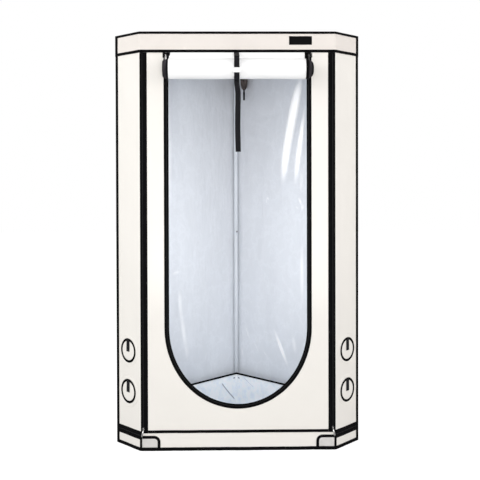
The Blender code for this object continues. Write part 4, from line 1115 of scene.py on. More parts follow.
def tube_between(name, start, end, grooves=()):
    """A tube with slightly rolled ends: a profile of radii along the tube, turned about it."""
    start, end = Vector(start), Vector(end)
    length = (end - start).length
    rolled, groove, depth = 0.0006, 0.0012, 0.0007
    profile = [(0, TUBE_RADIUS - rolled), (rolled, TUBE_RADIUS)]
    for share in grooves:
        for width, drop in ((-2, 0), (-1, depth), (1, depth), (2, 0)):
            profile.append((share * length + width * groove, TUBE_RADIUS - drop))
    profile += [(length - rolled, TUBE_RADIUS), (length, TUBE_RADIUS - rolled)]
    up = (1, 0, 0) if abs((end - start).z) > length / 2 else (0, 0, 1)
    return lathe(name, start, end - start, up, profile, 40, tube_coat())


def make_snap_button():
    """The spring button that locks the two halves of the back pole: a small turned stud."""
    x, y = AXES[2]
    angle = math.radians(BUTTON_DEGREES)
    way = (math.sin(angle), -math.cos(angle), 0)
    height = (LOW_AXIS + TOP_AXIS) / 2 - BUTTON_BELOW_JOINT
    centre = (x + TUBE_RADIUS * way[0], y + TUBE_RADIUS * way[1], height)
    settle(lathe("pole_snap_button", centre, way, (0, 0, 1), BUTTON_PROFILE, 20, dark_lacquer()), "nickel")


class TENT_OT_tubes(bpy.types.Operator):
    """Poles and rails as rolled tubes, and the finishes of the fittings and lamp bars"""

    bl_idname = "tent.tubes"
    bl_label = "Tubes and fittings"

    def execute(self, context):
        low, high = LOW_AXIS + HUB_RADIUS + GAP, TOP_AXIS - HUB_RADIUS - GAP
        names = ("front_right", "right", "back", "left", "front_left")
        for name, (x, y) in zip(names, AXES):
            pole = tube_between(f"tube_pole_{name}", (x, y, low), (x, y, high), (0.5,))
            settle(pole, "white_tube", f"pole_{name}")
        rails = {"front_rail": (4, 0), "back_rail_right": (1, 2), "back_rail_left": (2, 3)}
        for level, height in (("bottom", LOW_AXIS), ("top", TOP_AXIS)):
            for name, ends in rails.items():
                start, end = (Vector((*AXES[index], height)) for index in ends)
                reach = (end - start).normalized() * (HUB_RADIUS + GAP)
                rail = tube_between(f"tube_{name}_{level}", start + reach, end - reach)
                settle(rail, "white_tube", f"{name}_{level}")
        make_snap_button()
        repainted = {"corner_fitting": zinc_plate(), "lamp_bar": tube_coat()}
        for name, node in frame["nodes"].items():
            for start, material in repainted.items():
                if name.startswith(start):
                    for slot in node.material_slots:
                        slot.material = material
        return {"FINISHED"}


# The cover's panels


def door_edge(half_width, drop, top, spacing=FRONT_STEP):
    """Down one side of the door, round its elliptical foot and up: across, up, the foot's angles, and the
    number of points on each straight side."""
    stops = [DOOR_CURVE_HEIGHT, DOOR_TOP, top] if top > DOOR_TOP else [DOOR_CURVE_HEIGHT, top]
    down = steps_between(stops, spacing)
    corner = math.atan2(DOOR_CURVE_HEIGHT - WALL_BOTTOM, FRONT_HALF)
    angles = steps_between([pi, pi + corner, 2 * pi - corner, 2 * pi], FOOT_ANGLE_STEP)
    side = full(len(down) - 1, half_width)
    x = concatenate([-side, half_width * cos(angles), side])
    z = concatenate([down[:0:-1], DOOR_CURVE_HEIGHT + drop * sin(angles), down[1:]])
    return x, z, angles, len(side)


def make_front_panel():
    """A sheet between the door's edge and the front's edge: straight lines from one to the other, and from
    the middle of the door's curve round its foot."""
    edge = DOOR_HALF_WIDTH + DOOR_ZIP_OVERHANG
    inner_x, inner_z, angles, tall = door_edge(edge, DOOR_CURVE_DROP + DOOR_ZIP_OVERHANG, WALL_TOP)
    across = FRONT_HALF / maximum(np.abs(cos(angles)), 1e-9)
    down = (DOOR_CURVE_HEIGHT - WALL_BOTTOM) / maximum(-sin(angles), 1e-9)
    reach = minimum(across, down)
    half = FRONT_HALF - GAP / 2
    side = full(tall, half)
    outer_x = concatenate([-side, clip(reach * cos(angles), -half, half), side])
    outer_z = concatenate([inner_z[:tall], DOOR_CURVE_HEIGHT + reach * sin(angles), inner_z[-tall:]])
    share = linspace(0, 1, 19)[None, :]
    s, z = (lerp(a[:, None], b[:, None], share) for a, b in ((inner_x, outer_x), (inner_z, outer_z)))
    materials = cover_cloth(), wall_lining()
    around = cloth_sheet("around", s, z, PANEL_OUT, materials)
    head_z = inner_z[:tall + 1][inner_z[:tall + 1] >= DOOR_TOP - 1e-9][::-1]
    head = cloth_sheet("head", *np.meshgrid(linspace(-edge, edge, 76), head_z), PANEL_OUT, materials)
    panel = joined("cover_front", [outward(around), outward(head)])
    walled(panel, FABRIC, True)
    settle(panel, "cover_fabric", "front_panel")


def wall_blocks(name, side, marks, spacing, holes):
    """A wall from the floor up, as plain blocks and blocks with a round hole, joined. A hole's block has
    straight lines from the hole's edge to its own; holes give place, height, radius and the block's reach."""
    sign, materials = SIDES[side], (cover_cloth(), wall_lining())
    parts, low = [], WALL_BOTTOM
    for place, height, radius, reach in holes:
        parts.append(plain_block("plain", sign, marks, low, height - reach, spacing, materials))
        low = height + reach
        levels = linspace(height - reach, low, max(12, math.ceil(2 * reach / HOLE_STEP)))
        left, right = (full(len(levels) - 1, mark) for mark in (marks[0], marks[-1]))
        bottom, top = (full(len(marks) - 1, level) for level in (levels[0], levels[-1]))
        edge_s = concatenate([marks[:-1], right, marks[:0:-1], left])
        edge_z = concatenate([bottom, levels[:-1], top, levels[:0:-1]])
        angle = arctan2(edge_z - height, edge_s - place)
        share = linspace(0, 1, 13)[:, None] ** 1.15
        s = lerp(place + radius * cos(angle), edge_s, share)
        z = lerp(height + radius * sin(angle), edge_z, share)
        parts.append(cloth_sheet("holed", sign * s, z, PANEL_OUT, materials, True))
    parts.append(plain_block("plain", sign, marks, low, WALL_TOP, spacing, materials))
    return outward(joined(name, parts))


def plain_block(name, sign, marks, low, high, spacing, materials):
    s, z = np.meshgrid(marks, linspace(low, high, max(2, math.ceil((high - low) / spacing) + 1)))
    return cloth_sheet(name, sign * s, z, PANEL_OUT, materials)


def finish_wall(panel, side, kind):
    """Gives a wall its thickness and lining, and hides the plain sheet that it stands for."""
    walled(panel, FABRIC, True)
    settle(panel, "cover_fabric", f"{kind}_{side}")


def make_side_panel(side):
    """A narrow side from the front fold to the rear seam, with two round duct holes."""
    marks = round_marks(FRONT_TURN[0] + GAP / 2, SIDE_SEAM - GAP / 2, SIDE_STEP)
    reach = 0.075
    holes = [(PORT_PLACE, PORT_HEIGHTS[level], PORT_BORE, reach) for level in ("lower", "upper")]
    panel = wall_blocks(f"cover_side_{side}", side, marks, FRONT_STEP, holes)
    finish_wall(panel, side, "side_panel")


def make_back_wall(side):
    """A long back wall between two seams; the right one has the cable hole near its top. Each point keeps
    the strength of its creases' painted highlight."""
    marks = round_marks(SIDE_SEAM + GAP / 2, BACK_SEAM - GAP / 2, BACK_STEP)
    reach = 0.045
    hole = (BACK_TURN[0] - CABLE_FROM_CORNER, ROOF_TOP - CABLE_BELOW_ROOF, CABLE_BORE, reach)
    panel = wall_blocks(f"cover_back_{side}", side, marks, BACK_STEP, [hole] if side == "right" else [])
    flat = np.zeros(len(panel.data.vertices) * 3)
    panel.data.vertices.foreach_get("co", flat)
    x, _, z = flat.reshape(-1, 3).T
    place = BACK_TURN[0] - np.abs(x) * math.sqrt(2)
    # Strength of the painted highlight at each point, from the creases.
    shine = sum(fold * strength for fold, _, strength in wall_folds(side, SIDES[side] * place, z))
    layer = panel.data.attributes.new("shine", "FLOAT", "POINT")
    layer.data.foreach_set("value", clip(shine, 0, 1))
    finish_wall(panel, side, "back_wall")


def outline_points():
    """The cover's outline seen from above."""
    marks = round_marks(0, ROUND, TAPE_STEP)[:-1]
    return cover(marks, np.zeros(len(marks)), PANEL_OUT, True)[:, :2]


def outline_area():
    """Shoelace area of the outline."""
    x, y = outline_points().T
    return abs(np.dot(x, np.roll(y, -1)) - np.dot(y, np.roll(x, -1))) / 2


def flat_sheet(name, hole_centre, hole_radius, height, sag=None):
    """A level sheet inside the outline: straight lines from a round hole, or a point, to the outline."""
    outline = outline_points()
    away = outline - array(hole_centre)
    angle = arctan2(away[:, 1], away[:, 0])
    ring = array(hole_centre) + hole_radius * stack([cos(angle), sin(angle)], -1)
    share = linspace(0, 1, 40)[:, None, None] ** 1.05
    flat = ring * (1 - share) + outline * share
    z = full(flat.shape[:2], height)
    if sag:
        z = z + sag(flat[..., 0], flat[..., 1], share[..., 0])
    closing = concatenate([flat, flat[:, :1]], 1)
    materials = (cover_cloth(), wall_lining())
    sheet = surface(name, concatenate([flat, z[..., None]], -1), (False, True), closing, False, materials)
    return faces_up(sheet)


def roof_sag(x, y, share):
    """The roof sags a little between the rails and the lamp bars, with slow crossed ripples."""
    depth, swell = 0.0012, 0.0016
    ripple = 0.5 * sin(9 * x + 4 * y) * sin(7 * y - 3 * x) + 0.3 * sin(31 * x - 12 * y + 1)
    return (swell * ripple - depth) * sin(pi * clip(share, 0, 1)) ** 0.7


def make_roof():
    """The roof with its duct sleeve."""
    roof = flat_sheet("cover_roof", (0, ROOF_SLEEVE_Y), ROOF_BORE, ROOF_TOP, roof_sag)
    walled(roof, FABRIC, True)
    settle(roof, "cover_fabric", "roof_panel")
    area = outline_area() - pi * ROOF_BORE ** 2
    soft_sleeve(
        "roof_duct_sleeve", (0, ROOF_SLEEVE_Y, ROOF_UNDER), (0, 0, 1), (1, 0, 0),
        ROOF_BORE + FABRIC, ROOF_SLEEVE_LENGTH, 96,
    )


def make_floor():
    floor = flat_sheet("cover_floor", (0, 0), 0.0, FABRIC)
    walled(floor, FABRIC)
    settle(floor, "cover_fabric", "floor_panel")
    outline_area()


def soft_sleeve(name, centre, way, up, radius, length, sides):
    """A sewn tube of cloth with a drawstring hem at its free end: out along it, round its rim and in."""
    hem, wall = 0.0028, 0.0011
    rise = linspace(0, length - 3 * hem, 9)
    bulge = ((3, 0), (2.4, 0.5), (1.5, 0.8), (0.6, 0.5), (0, 0))
    swell = [(length - part * hem, more * hem) for part, more in bulge]
    outer = [(z, radius) for z in rise] + [(z, radius + extra) for z, extra in swell]
    inner = [(z, radius - wall - extra / 2) for z, extra in swell[::-1]]
    inner += [(z, radius - wall) for z in rise[::-1]]
    return settle(lathe(name, centre, way, up, outer + inner, sides, cover_cloth(), gathered), "cover_fabric")


def gathered(along, angle):
    """Radius share of soft pleats that deepen towards the free end."""
    depth = 0.006 + 0.25 * clip(along, 0, 0.06)
    return 1 - depth * (0.5 + 0.5 * sin(17 * angle + 2 * sin(3 * angle)))


class TENT_OT_panels(bpy.types.Operator):
    """Front, side and back panels, roof and floor of the cover"""

    bl_idname = "tent.panels"
    bl_label = "Cover panels"

    def execute(self, context):
        make_front_panel()
        for side in SIDES:
            make_side_panel(side)
            make_back_wall(side)
        make_roof()
        make_floor()
        return {"FINISHED"}


class TENT_OT_top_band(bpy.types.Operator):
    """The valance round the top, with its rows of stitches"""

    bl_idname = "tent.top_band"
    bl_label = "Top band"

    def execute(self, context):
        marks = round_marks(0, ROUND, BAND_STEP)[:-1]
        s, z = np.meshgrid(marks, linspace(BAND_BOTTOM, ROOF_TOP, 27))
        groove = sum(-STITCH_DEPTH * bump_at(z, row, STITCH_WIDTH) for row in STITCH_ROWS)
        closing = concatenate([s, full((len(s), 1), ROUND)], 1)
        measure = stack([closing, concatenate([z, z[:, :1]], 1)], -1)
        points = cover(s, z, BAND_OUT + groove)
        band = surface("cover_top_band", points, (False, True), measure, False, (band_cloth(),))
        walled(outward(band), FABRIC)
        settle(band, "cover_fabric", "top_band")
        return {"FINISHED"}


# Bindings, hem, patches and label


def strip_section(out_low, out_high, low, high):
    """A flat upright section with rounded edges, slightly crowned, as distances out and heights."""
    edge, middle = TAPE_EDGE, (low + high) / 2
    return [
        (out_low, low + edge), (out_low + edge, low), (out_high - edge, low), (out_high, low + edge),
        (out_high, lerp(low, high, 0.3)), (out_high + TAPE_CROWN, middle), (out_high, lerp(low, high, 0.7)),
        (out_high, high - edge), (out_high - edge, high), (out_low + edge, high), (out_low, high - edge),
        (out_low, middle),
    ]


def lower_section(low, top):
    """The tape under the band's lower edge: down behind the band, under it and up over its face."""
    edge, face, inner, under = TAPE_EDGE, BAND_TAPE_OUT, BAND_TAPE_IN, BAND_BOTTOM - GAP
    return [
        (BAND_IN, low + edge), (BAND_IN + edge, low), (face - edge, low), (face, low + edge),
        (face, top - edge), (face - edge, top), (inner + edge, top), (inner, top - edge), (inner, under),
        (BAND_IN, under),
    ]


def upper_section(low):
    """The tape over the band's upper edge: up its face and in over the roof."""
    edge, face, inner, over = TAPE_EDGE, BAND_TAPE_OUT, BAND_TAPE_IN, ROOF_TOP + GAP
    fold, top = face - BINDING_FOLD, TENT_TOP
    return [
        (inner, over), (inner, low + edge), (inner + edge, low), (face - edge, low), (face, low + edge),
        (face, top - edge), (face - edge, top), (fold + edge, top), (fold, top - edge), (fold, over),
    ]


def upright_tape(name, span, low, high, out, sign):
    """A tape up a turn: a closed section of places and distances out, carried up."""
    s, up = tape_section(round_marks(*span, TURN_STEP), TAPE, 0.06)
    z = steps_between([low, high], TAPE_STEP)
    piece = rod(name, cover(sign * s[None, :], z[:, None], out + up[None, :]), black_binding())
    return settle(piece, "black_tape", "seam_binding")


class TENT_OT_bindings(bpy.types.Operator):
    """Black tape round the base, the band, the rear corners and the front folds, and the hem"""

    bl_idname = "tent.bindings"
    bl_label = "Bindings and hem"

    def execute(self, context):
        low, over, under = BAND_BOTTOM - GAP - TAPE, BAND_BOTTOM + BINDING_WIDTH, TENT_TOP - BINDING_WIDTH
        sections = {
            "base_binding": strip_section(BAND_IN, WALL_TAPE_OUT, 0, BASE_BINDING_WIDTH),
            "band_lower_binding": lower_section(low, over),
            "band_upper_binding": upper_section(under),
        }
        marks = round_marks(0, ROUND, FRONT_STEP)[:-1]
        for name, section in sections.items():
            out, z = (array(values, float)[None, :] for values in zip(*section))
            tape = ring(name, cover(marks[:, None], z, out), black_binding())
            settle(tape, "black_tape", "seam_binding")
        reach = CORNER_BINDING_REACH
        for name, turn, sign in (("right", SIDE_TURN, 1), ("left", SIDE_TURN, -1), ("back", BACK_TURN, 1)):
            span = turn[0] - reach, turn[1] + reach
            upright_tape(f"{name}_seam_binding", span, BASE_BINDING_WIDTH, low, BAND_IN, sign)
            upright_tape(f"{name}_band_binding", span, over, under, BAND_TAPE_IN, sign)
        for side, sign in SIDES.items():
            top = FOOT_ZIP_LOW - GAP
            upright_tape(f"fold_binding_{side}", FRONT_TURN, BASE_BINDING_WIDTH, top, BAND_IN, sign)
        half = FRONT_HALF - CORNER_ZIP_WIDTH - GAP
        places, middle = linspace(-half, half, 96), (HEM_LOW + HEM_TOP) / 2
        hem = tape_along("front_hem", places, middle, HEM_TOP - HEM_LOW, TAPE, black_binding())
        settle(hem, "black_tape", "front_hem_tape")
        return {"FINISHED"}


def make_patch(side, sign):
    """Cloth up to a level edge that turns down in a quarter circle, and a tape along that edge."""
    bottom, rim_half = BASE_BINDING_WIDTH + GAP, PATCH_RIM_WIDTH / 2
    quarter, corner = PATCH_WIDTH - PATCH_CORNER, PATCH_HEIGHT - PATCH_CORNER
    across = PATCH_WIDTH * sin(linspace(0, pi / 2, 30))
    across = clip(across, 2 * GAP, PATCH_WIDTH - rim_half)
    past = clip(across - quarter, 0, PATCH_CORNER)
    top = corner + np.sqrt(PATCH_CORNER ** 2 - past ** 2) - rim_half / 2
    z = lerp(bottom, top[None, :], linspace(0, 1, 16)[:, None])
    s = sign * (FRONT_HALF - np.broadcast_to(across, z.shape))
    sheet = cloth_sheet(f"corner_patch_cloth_{side}", s, z, BAND_OUT, (patch_cloth(),))
    walled(outward(sheet), FABRIC * 0.8)
    settle(sheet, "patch_fabric", f"corner_patch_{side}")
    turn = linspace(0, pi / 2, 16)[1:]
    bend, run = PATCH_CORNER - rim_half, linspace(quarter, 2 * GAP, 10)[1:]
    line_x = concatenate([full(8, PATCH_WIDTH - rim_half), quarter + bend * cos(turn), run])
    foot, head = linspace(bottom, corner, 8), full(9, PATCH_HEIGHT - rim_half)
    line_z = concatenate([foot, corner + bend * sin(turn), head])
    places, width = sign * (FRONT_HALF - line_x), PATCH_RIM_WIDTH * 0.96
    rim = tape_along(f"corner_patch_rim_{side}", places, line_z, width, TAPE, black_binding())
    settle(rim, "black_tape", f"corner_patch_{side}")


def make_label():
    """A thin patch that drops at its border, with a row of stitches inside it."""
    rise, drop_low, drop_high = 0.0008, -0.0006, 0.0016
    stitch_depth, stitch_inset, stitch_width = 0.0003, 0.0035, 0.0009
    low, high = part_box("blank_label")
    s, z = np.meshgrid(linspace(low.x, high.x, 40), linspace(low.z, high.z, 18))
    border = minimum(minimum(s - low.x, high.x - s), minimum(z - low.z, high.z - z))
    out = rise * smooth(border, drop_low, drop_high)
    out = out - stitch_depth * bump_at(border, stitch_inset, stitch_width)
    label = cloth_sheet("blank_label_cloth", s, z, BAND_TAPE_IN + out, (label_cloth(),))
    walled(outward(label), FABRIC * 0.3)
    settle(label, "black_tape", "blank_label")


class TENT_OT_patches(bpy.types.Operator):
    """Corner patches with bound edges, and the bare label on the band"""

    bl_idname = "tent.patches"
    bl_label = "Patches and label"

    def execute(self, context):
        for side, sign in SIDES.items():
            make_patch(side, sign)
        make_label()
        return {"FINISHED"}


# Zips


def teeth_along(name, node, place_line, height_line, width):
    """A coil of teeth: a small domed section carried along a line, swelling and thinning at each tooth."""
    run = run_along(place_line, height_line)
    along = np.arange(0, run[-1], TOOTH_PITCH / 4)
    swell = (0.5 + 0.5 * cos(tau * along / TOOTH_PITCH))[:, None]
    angle = circle(7)[None, :]
    across = width / 2 * cos(angle) * (0.72 + 0.28 * swell)
    up = TOOTH_RISE * (1 + sin(angle)) * (0.55 + 0.45 * swell)
    s, z = square_to(np.interp(along, run, place_line), np.interp(along, run, height_line), across)
    return settle(rod(name, cover(s, z, TEETH_OUT + up), zip_teeth()), "black_tape", node)


def make_door_zip():
    """Lines from the door's inner edge to its outer one, with the tape's section across them."""
    inner_x, inner_z, _, _ = door_edge(DOOR_HALF_WIDTH, DOOR_CURVE_DROP, ZIP_TOP, TAPE_STEP)
    width = DOOR_ZIP_WIDTH
    outer_x, outer_z, _, _ = door_edge(DOOR_HALF_WIDTH + width, DOOR_CURVE_DROP + width, ZIP_TOP, TAPE_STEP)
    share = array([0, 0.02, 0.12, 0.5, 0.88, 0.98, 1.0, 0.98, 0.5, 0.02])[None, :]
    up = ZIP_TAPE * array([0.4, 0.85, 1.0, 1.0, 1.0, 0.85, 0.4, 0.0, 0.0, 0.0])[None, :]
    s = lerp(inner_x[:, None], outer_x[:, None], share)
    z = lerp(inner_z[:, None], outer_z[:, None], share)
    settle(rod("door_zip_tape", cover(s, z, BAND_IN + up), black_binding()), "black_tape", "door_zip")
    x, z = lerp(inner_x, outer_x, DOOR_TEETH_SHARE), lerp(inner_z, outer_z, DOOR_TEETH_SHARE)
    teeth_along("door_zip_teeth", "door_zip", x, z, DOOR_TEETH_WIDTH)


def make_corner_zip(side, sign):
    """The upright tape at a front corner, and the tape along the foot of the narrow side."""
    node = f"corner_zip_{side}"
    first, last = FRONT_HALF - CORNER_ZIP_WIDTH, sum(FRONT_TURN) / 2
    marks = np.append(linspace(first, FRONT_HALF, 8)[:-1], linspace(FRONT_HALF, last, 5))
    s, up = tape_section(marks, CORNER_ZIP_TAPE, 0.05)
    z = steps_between([HEM_LOW, ZIP_TOP], TAPE_STEP)
    points = cover(sign * s[None, :], z[:, None], BAND_IN + up[None, :])
    settle(rod(f"corner_zip_tape_{side}", points, black_binding()), "black_tape", node)
    marks = round_marks(FRONT_TURN[0], SIDE_TURN[0] - CORNER_BINDING_REACH - GAP, SIDE_STEP)
    middle = FOOT_ZIP_LOW + FOOT_ZIP_WIDTH / 2
    name = f"foot_zip_tape_{side}"
    foot = tape_along(name, sign * marks, middle, FOOT_ZIP_WIDTH, ZIP_TAPE, black_binding())
    settle(foot, "black_tape", node)
    place = full(2, sign * (FRONT_HALF - CORNER_SLIDER_INSET))
    ends = array([HEM_LOW + GAP, ZIP_TOP - GAP])
    teeth_along(f"corner_zip_teeth_{side}", node, place, ends, CORNER_TEETH_WIDTH)
    start_inset, end_inset = 0.004, 0.012
    places = sign * linspace(FRONT_TURN[0] + start_inset, SIDE_TURN[0] - end_inset, 30)
    teeth_along(f"foot_zip_teeth_{side}", node, places, full(30, middle), CORNER_TEETH_WIDTH)


class TENT_OT_zips(bpy.types.Operator):
    """Door zip and the two corner zips, with their teeth"""

    bl_idname = "tent.zips"
    bl_label = "Zips"

    def execute(self, context):
        make_door_zip()
        for side, sign in SIDES.items():
            make_corner_zip(side, sign)
        return {"FINISHED"}


def plate_finish(node):
    """Nickel, but dark on the right door slider and its pull, which take the slider blocks' black finish."""
    return dark_lacquer() if node.startswith("door") and node.endswith("right") else nickel_plate()


def slider_block(node, centre):
    """A shield-shaped block, wide at the mouth and waisted, whose outline shrinks at its two faces."""
    half_width, half_length = 0.006, 0.008
    out_low, out_high, groove_width = SLIDER_IN, SLIDER_IN + SLIDER_THICKNESS, 0.0005
    angle = circle(36)
    turn = linspace(-pi / 2, pi / 2, 11)[:, None]
    waist = 1 - 0.18 * (0.5 - 0.5 * sin(angle)) ** 2
    x = half_width * waist * squared(cos(angle), 0.55)
    z = half_length * squared(sin(angle), 0.62)
    shrink = np.abs(cos(turn)) ** 0.28
    out = lerp(out_low, out_high, 0.5 + 0.5 * squared(sin(turn), 0.5))
    groove = 1 - 0.10 * bump_at(out, (out_low + out_high) / 2, groove_width)
    points = front_point(centre.x + shrink * groove * x[None, :], out, centre.z + shrink * z[None, :])
    settle(rod(node + "_block", points, dark_lacquer()), "nickel", node, body=node)


def slider_bridge(node, centre):
    """A wire carried over the block in a flattened arch."""
    half_length, rise, sunk, wire = 0.0050, 0.0048, 0.0006, 0.00110
    arch = pi * linspace(0, 1, 25)
    section = circle(10)[None, :]
    line_z = centre.z + half_length * squared(cos(arch), 0.6)
    line_out = SLIDER_IN + SLIDER_THICKNESS - sunk + rise * sin(arch) ** 0.45
    out, z = square_to(line_out, line_z, wire * 0.85 * sin(section))
    points = front_point(centre.x + wire * cos(section), out, z)
    settle(rod(node + "_bridge", points, plate_finish(node)), "nickel", body=node)


def zip_pull(node):
    """A flat tab with an eye: a rounded section carried round between its outline and its eye."""
    low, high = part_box(node)
    centre, size = (low + high) / 2, (high - low) / 2
    angle = circle(48)
    shape = 0.62 + 0.38 * smooth(-sin(angle), -0.9, 0.6)
    outer = stack([size.x * shape * squared(cos(angle), 0.6), size.z * squared(sin(angle), 0.8)], -1)
    eye_half, eye_low, eye_top = 0.0021, size.z - 0.0088, size.z - 0.0021
    eye_up = lerp(eye_low, eye_top, 0.5) + (eye_top - eye_low) / 2 * sin(angle)
    inner = stack([eye_half * cos(angle) * 0.98, eye_up], -1)
    outer, inner = outer[:, None, :], inner[:, None, :]
    trim = PULL_EDGE / norm(outer - inner, axis=-1)
    none = 0 * trim
    share = clip(concatenate([none, none, trim, 1 - trim, 1 + none, 1 + none, 1 - trim, trim], 1), 0, 1)
    thick, edge = size.y, size.y - PULL_EDGE
    rise = array([-edge, edge, thick, thick, edge, -edge, -thick, -thick])
    plane = lerp(outer, inner, share[..., None])
    lean = math.radians(PULL_LEAN_DEGREES) * math.copysign(1, centre.x) if node.startswith("corner") else 0
    eye = size.z - PULL_EYE_DEPTH
    across, up = plane[..., 0], plane[..., 1] - eye
    aside = across * math.cos(lean) - up * math.sin(lean)
    turned_up = across * math.sin(lean) + up * math.cos(lean) + eye
    points = front_point(centre.x + aside, FRONT_Y - centre.y + rise, centre.z + turned_up)
    settle(ring(node + "_tab", points, plate_finish(node)), "nickel", node, body=node)


class TENT_OT_sliders(bpy.types.Operator):
    """Zip sliders with their bridges, and the pulls that hang in them"""

    bl_idname = "tent.sliders"
    bl_label = "Sliders and pulls"

    def execute(self, context):
        for side in SIDES:
            for kind in ("corner", "door"):
                node = f"{kind}_slider_{side}"
                low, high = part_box(node)
                slider_block(node, (low + high) / 2)
                slider_bridge(node, (low + high) / 2)
                zip_pull(f"{kind}_pull_{side}")
        return {"FINISHED"}


# The rolled door


def zip_ends(side, sign):
    """Black tape where the zip ends under the band: a tab under the slider, and the door's own zip edge."""
    edge = DOOR_HALF_WIDTH + DOOR_ZIP_WIDTH
    half, under = DOOR_HALF_WIDTH, ROLL_WEB + ROLL_CLOTH
    spans = {
        "tab": (edge + GAP, edge + (ZIP_END_WIDTH - DOOR_ZIP_WIDTH) / 2, BAND_IN, ZIP_END_HEIGHT),
        "edge": (half - ROLL_TAPE_REACH, half - GAP, under, ROLL_TAPE_DROP),
    }
    for name, (inner, outer, out, drop) in spans.items():
        across, up = pill(outer - inner, TAPE, 18, 7)
        z = steps_between([ZIP_TOP - drop, ZIP_TOP], TURN_STEP)[:, None]
        points = front_point(sign * ((inner + outer) / 2 + across)[None, :], out + up[None, :], z)
        settle(rod(f"door_zip_end_{name}_{side}", points, black_binding()), "black_tape")


def rolled_sheet(name, node, spacing, web, material, cloth):
    """The sheet's line from the band down behind the roll and inwards, its radius shrinking at a steady
    rate, carried across while the radius swells and shrinks softly and the roll sags."""
    low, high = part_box(node)
    turns = ROLL_TURNS if web else ROLL_EDGE_TURNS
    turned = linspace(0, turns, turns * 34 + 1)
    radius = lerp(ROLL_RADIUS, ROLL_CORE, turned / turns)
    angle = pi + tau * turned
    out = ROLL_OUT + ROLL_FLATNESS * radius * cos(angle)
    height = ROLL_HEIGHT + radius * sin(angle)
    if web:
        share = linspace(0, 1, 13)[:-1]
        out = concatenate([lerp(ROLL_WEB, out[0], share), out])
        height = concatenate([lerp(ZIP_TOP, height[0], share), height])
    run = run_along(out, height)[:, None]
    held_drop, crease_depth, sag_depth = 0.05, 0.0006, 0.0012
    x = steps_between([low.x, high.x], spacing)[None, :]
    out, height = (line[:, None] for line in (out - ROLL_OUT, height - ROLL_HEIGHT))
    held = smooth(ZIP_TOP - ROLL_HEIGHT - height, 0.0, held_drop) if web else np.ones(height.shape)
    scale = 1 + (0.010 * sin(21 * x) * sin(8 * x + 1) - 0.012) * held
    if not web:
        share = (x - low.x) / (high.x - low.x) if high.x > 0 else (high.x - x) / (high.x - low.x)
        taper = ROLL_END_TAPER_SHARES["right" if high.x > 0 else "left"]
        scale = scale * (1 - taper * (1 - np.sqrt(1 - share ** 2)))
    angle = arctan2(height, out)
    crease = crease_depth * sin(5 * angle + 26 * x + 3 * sin(9 * x)) * held
    crease = crease * clip(hypot(out / ROLL_FLATNESS, height) / ROLL_RADIUS, 0, 1)
    sag = sag_depth * sin(13 * x + 0.4) * held * 0.5
    points = front_point(x, ROLL_OUT + out * scale + crease * cos(angle), ROLL_HEIGHT + height * scale + sag)
    measure = stack(broadcast_arrays(x, run), -1)
    return walled(surface(name, points, (False, False), measure, False, (material,)), cloth, False, 0)


class TENT_OT_rolled_door(bpy.types.Operator):
    """The door rolled up under the band, with its black zip edges at both ends"""

    bl_idname = "tent.rolled_door"
    bl_label = "Rolled door"

    def execute(self, context):
        roll = rolled_sheet("rolled_door", "door_roll", ROLL_STEP, True, door_cloth(), ROLL_CLOTH)
        settle(roll, "door_lining", "door_roll")
        for side, sign in SIDES.items():
            name, node, cloth = f"rolled_zip_edge_{side}", f"roll_edge_{side}", rolled_edge_cloth()
            roll = rolled_sheet(name, node, ROLL_EDGE_STEP, False, cloth, ROLL_EDGE_CLOTH)
            settle(roll, "black_tape", node)
            zip_ends(side, sign)
        return {"FINISHED"}


def strap_loop(middle):
    """Down behind the roll, round under it in half an ellipse, and up before it to the band."""
    low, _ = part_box("roll_strap")
    front = FRONT_Y - low.y - STRAP_THICKNESS / 2
    back = SLIDER_IN - GAP - STRAP_THICKNESS / 2
    top = ROLL_WEB + STRAP_OVER_WEB + STRAP_THICKNESS
    half = front - middle
    rear = middle - half
    turn_height = ROLL_HEIGHT - STRAP_STRAIGHT
    deep = turn_height - low.z - STRAP_THICKNESS / 2
    bend = ZIP_TOP - STRAP_STRAIGHT
    angle = linspace(pi, tau, 25)
    line_out = concatenate([
        linspace(back, rear, 12)[:-1], full(4, rear), middle + half * cos(angle), full(11, front),
        linspace(front, top, 8)[1:],
    ])
    line_up = concatenate([
        linspace(ZIP_TOP, ROLL_HEIGHT, 12)[:-1], linspace(ROLL_HEIGHT, turn_height, 5)[:-1],
        turn_height + deep * sin(angle), linspace(turn_height, bend, 12)[1:], linspace(bend, ZIP_TOP, 8)[1:],
    ])
    strap = webbing_line("roll_strap_webbing", line_out, line_up)
    settle(strap, "black_tape", "roll_strap")


def webbing_line(name, line_out, line_up, aside=0):
    """A pill section square to a line that is given out from the front, up and aside."""
    across, up = pill(STRAP_WIDTH, STRAP_THICKNESS, 20, 7)
    out, height = square_to(line_out, line_up, (STRAP_THICKNESS / 2 - up)[None, :])
    x = STRAP_X + across[None, :] + np.broadcast_to(aside, line_up.shape)[:, None]
    measure = webbing_measure(across, run_along(line_out, line_up))
    return rod(name, front_point(x, out, height), webbing(), measure)


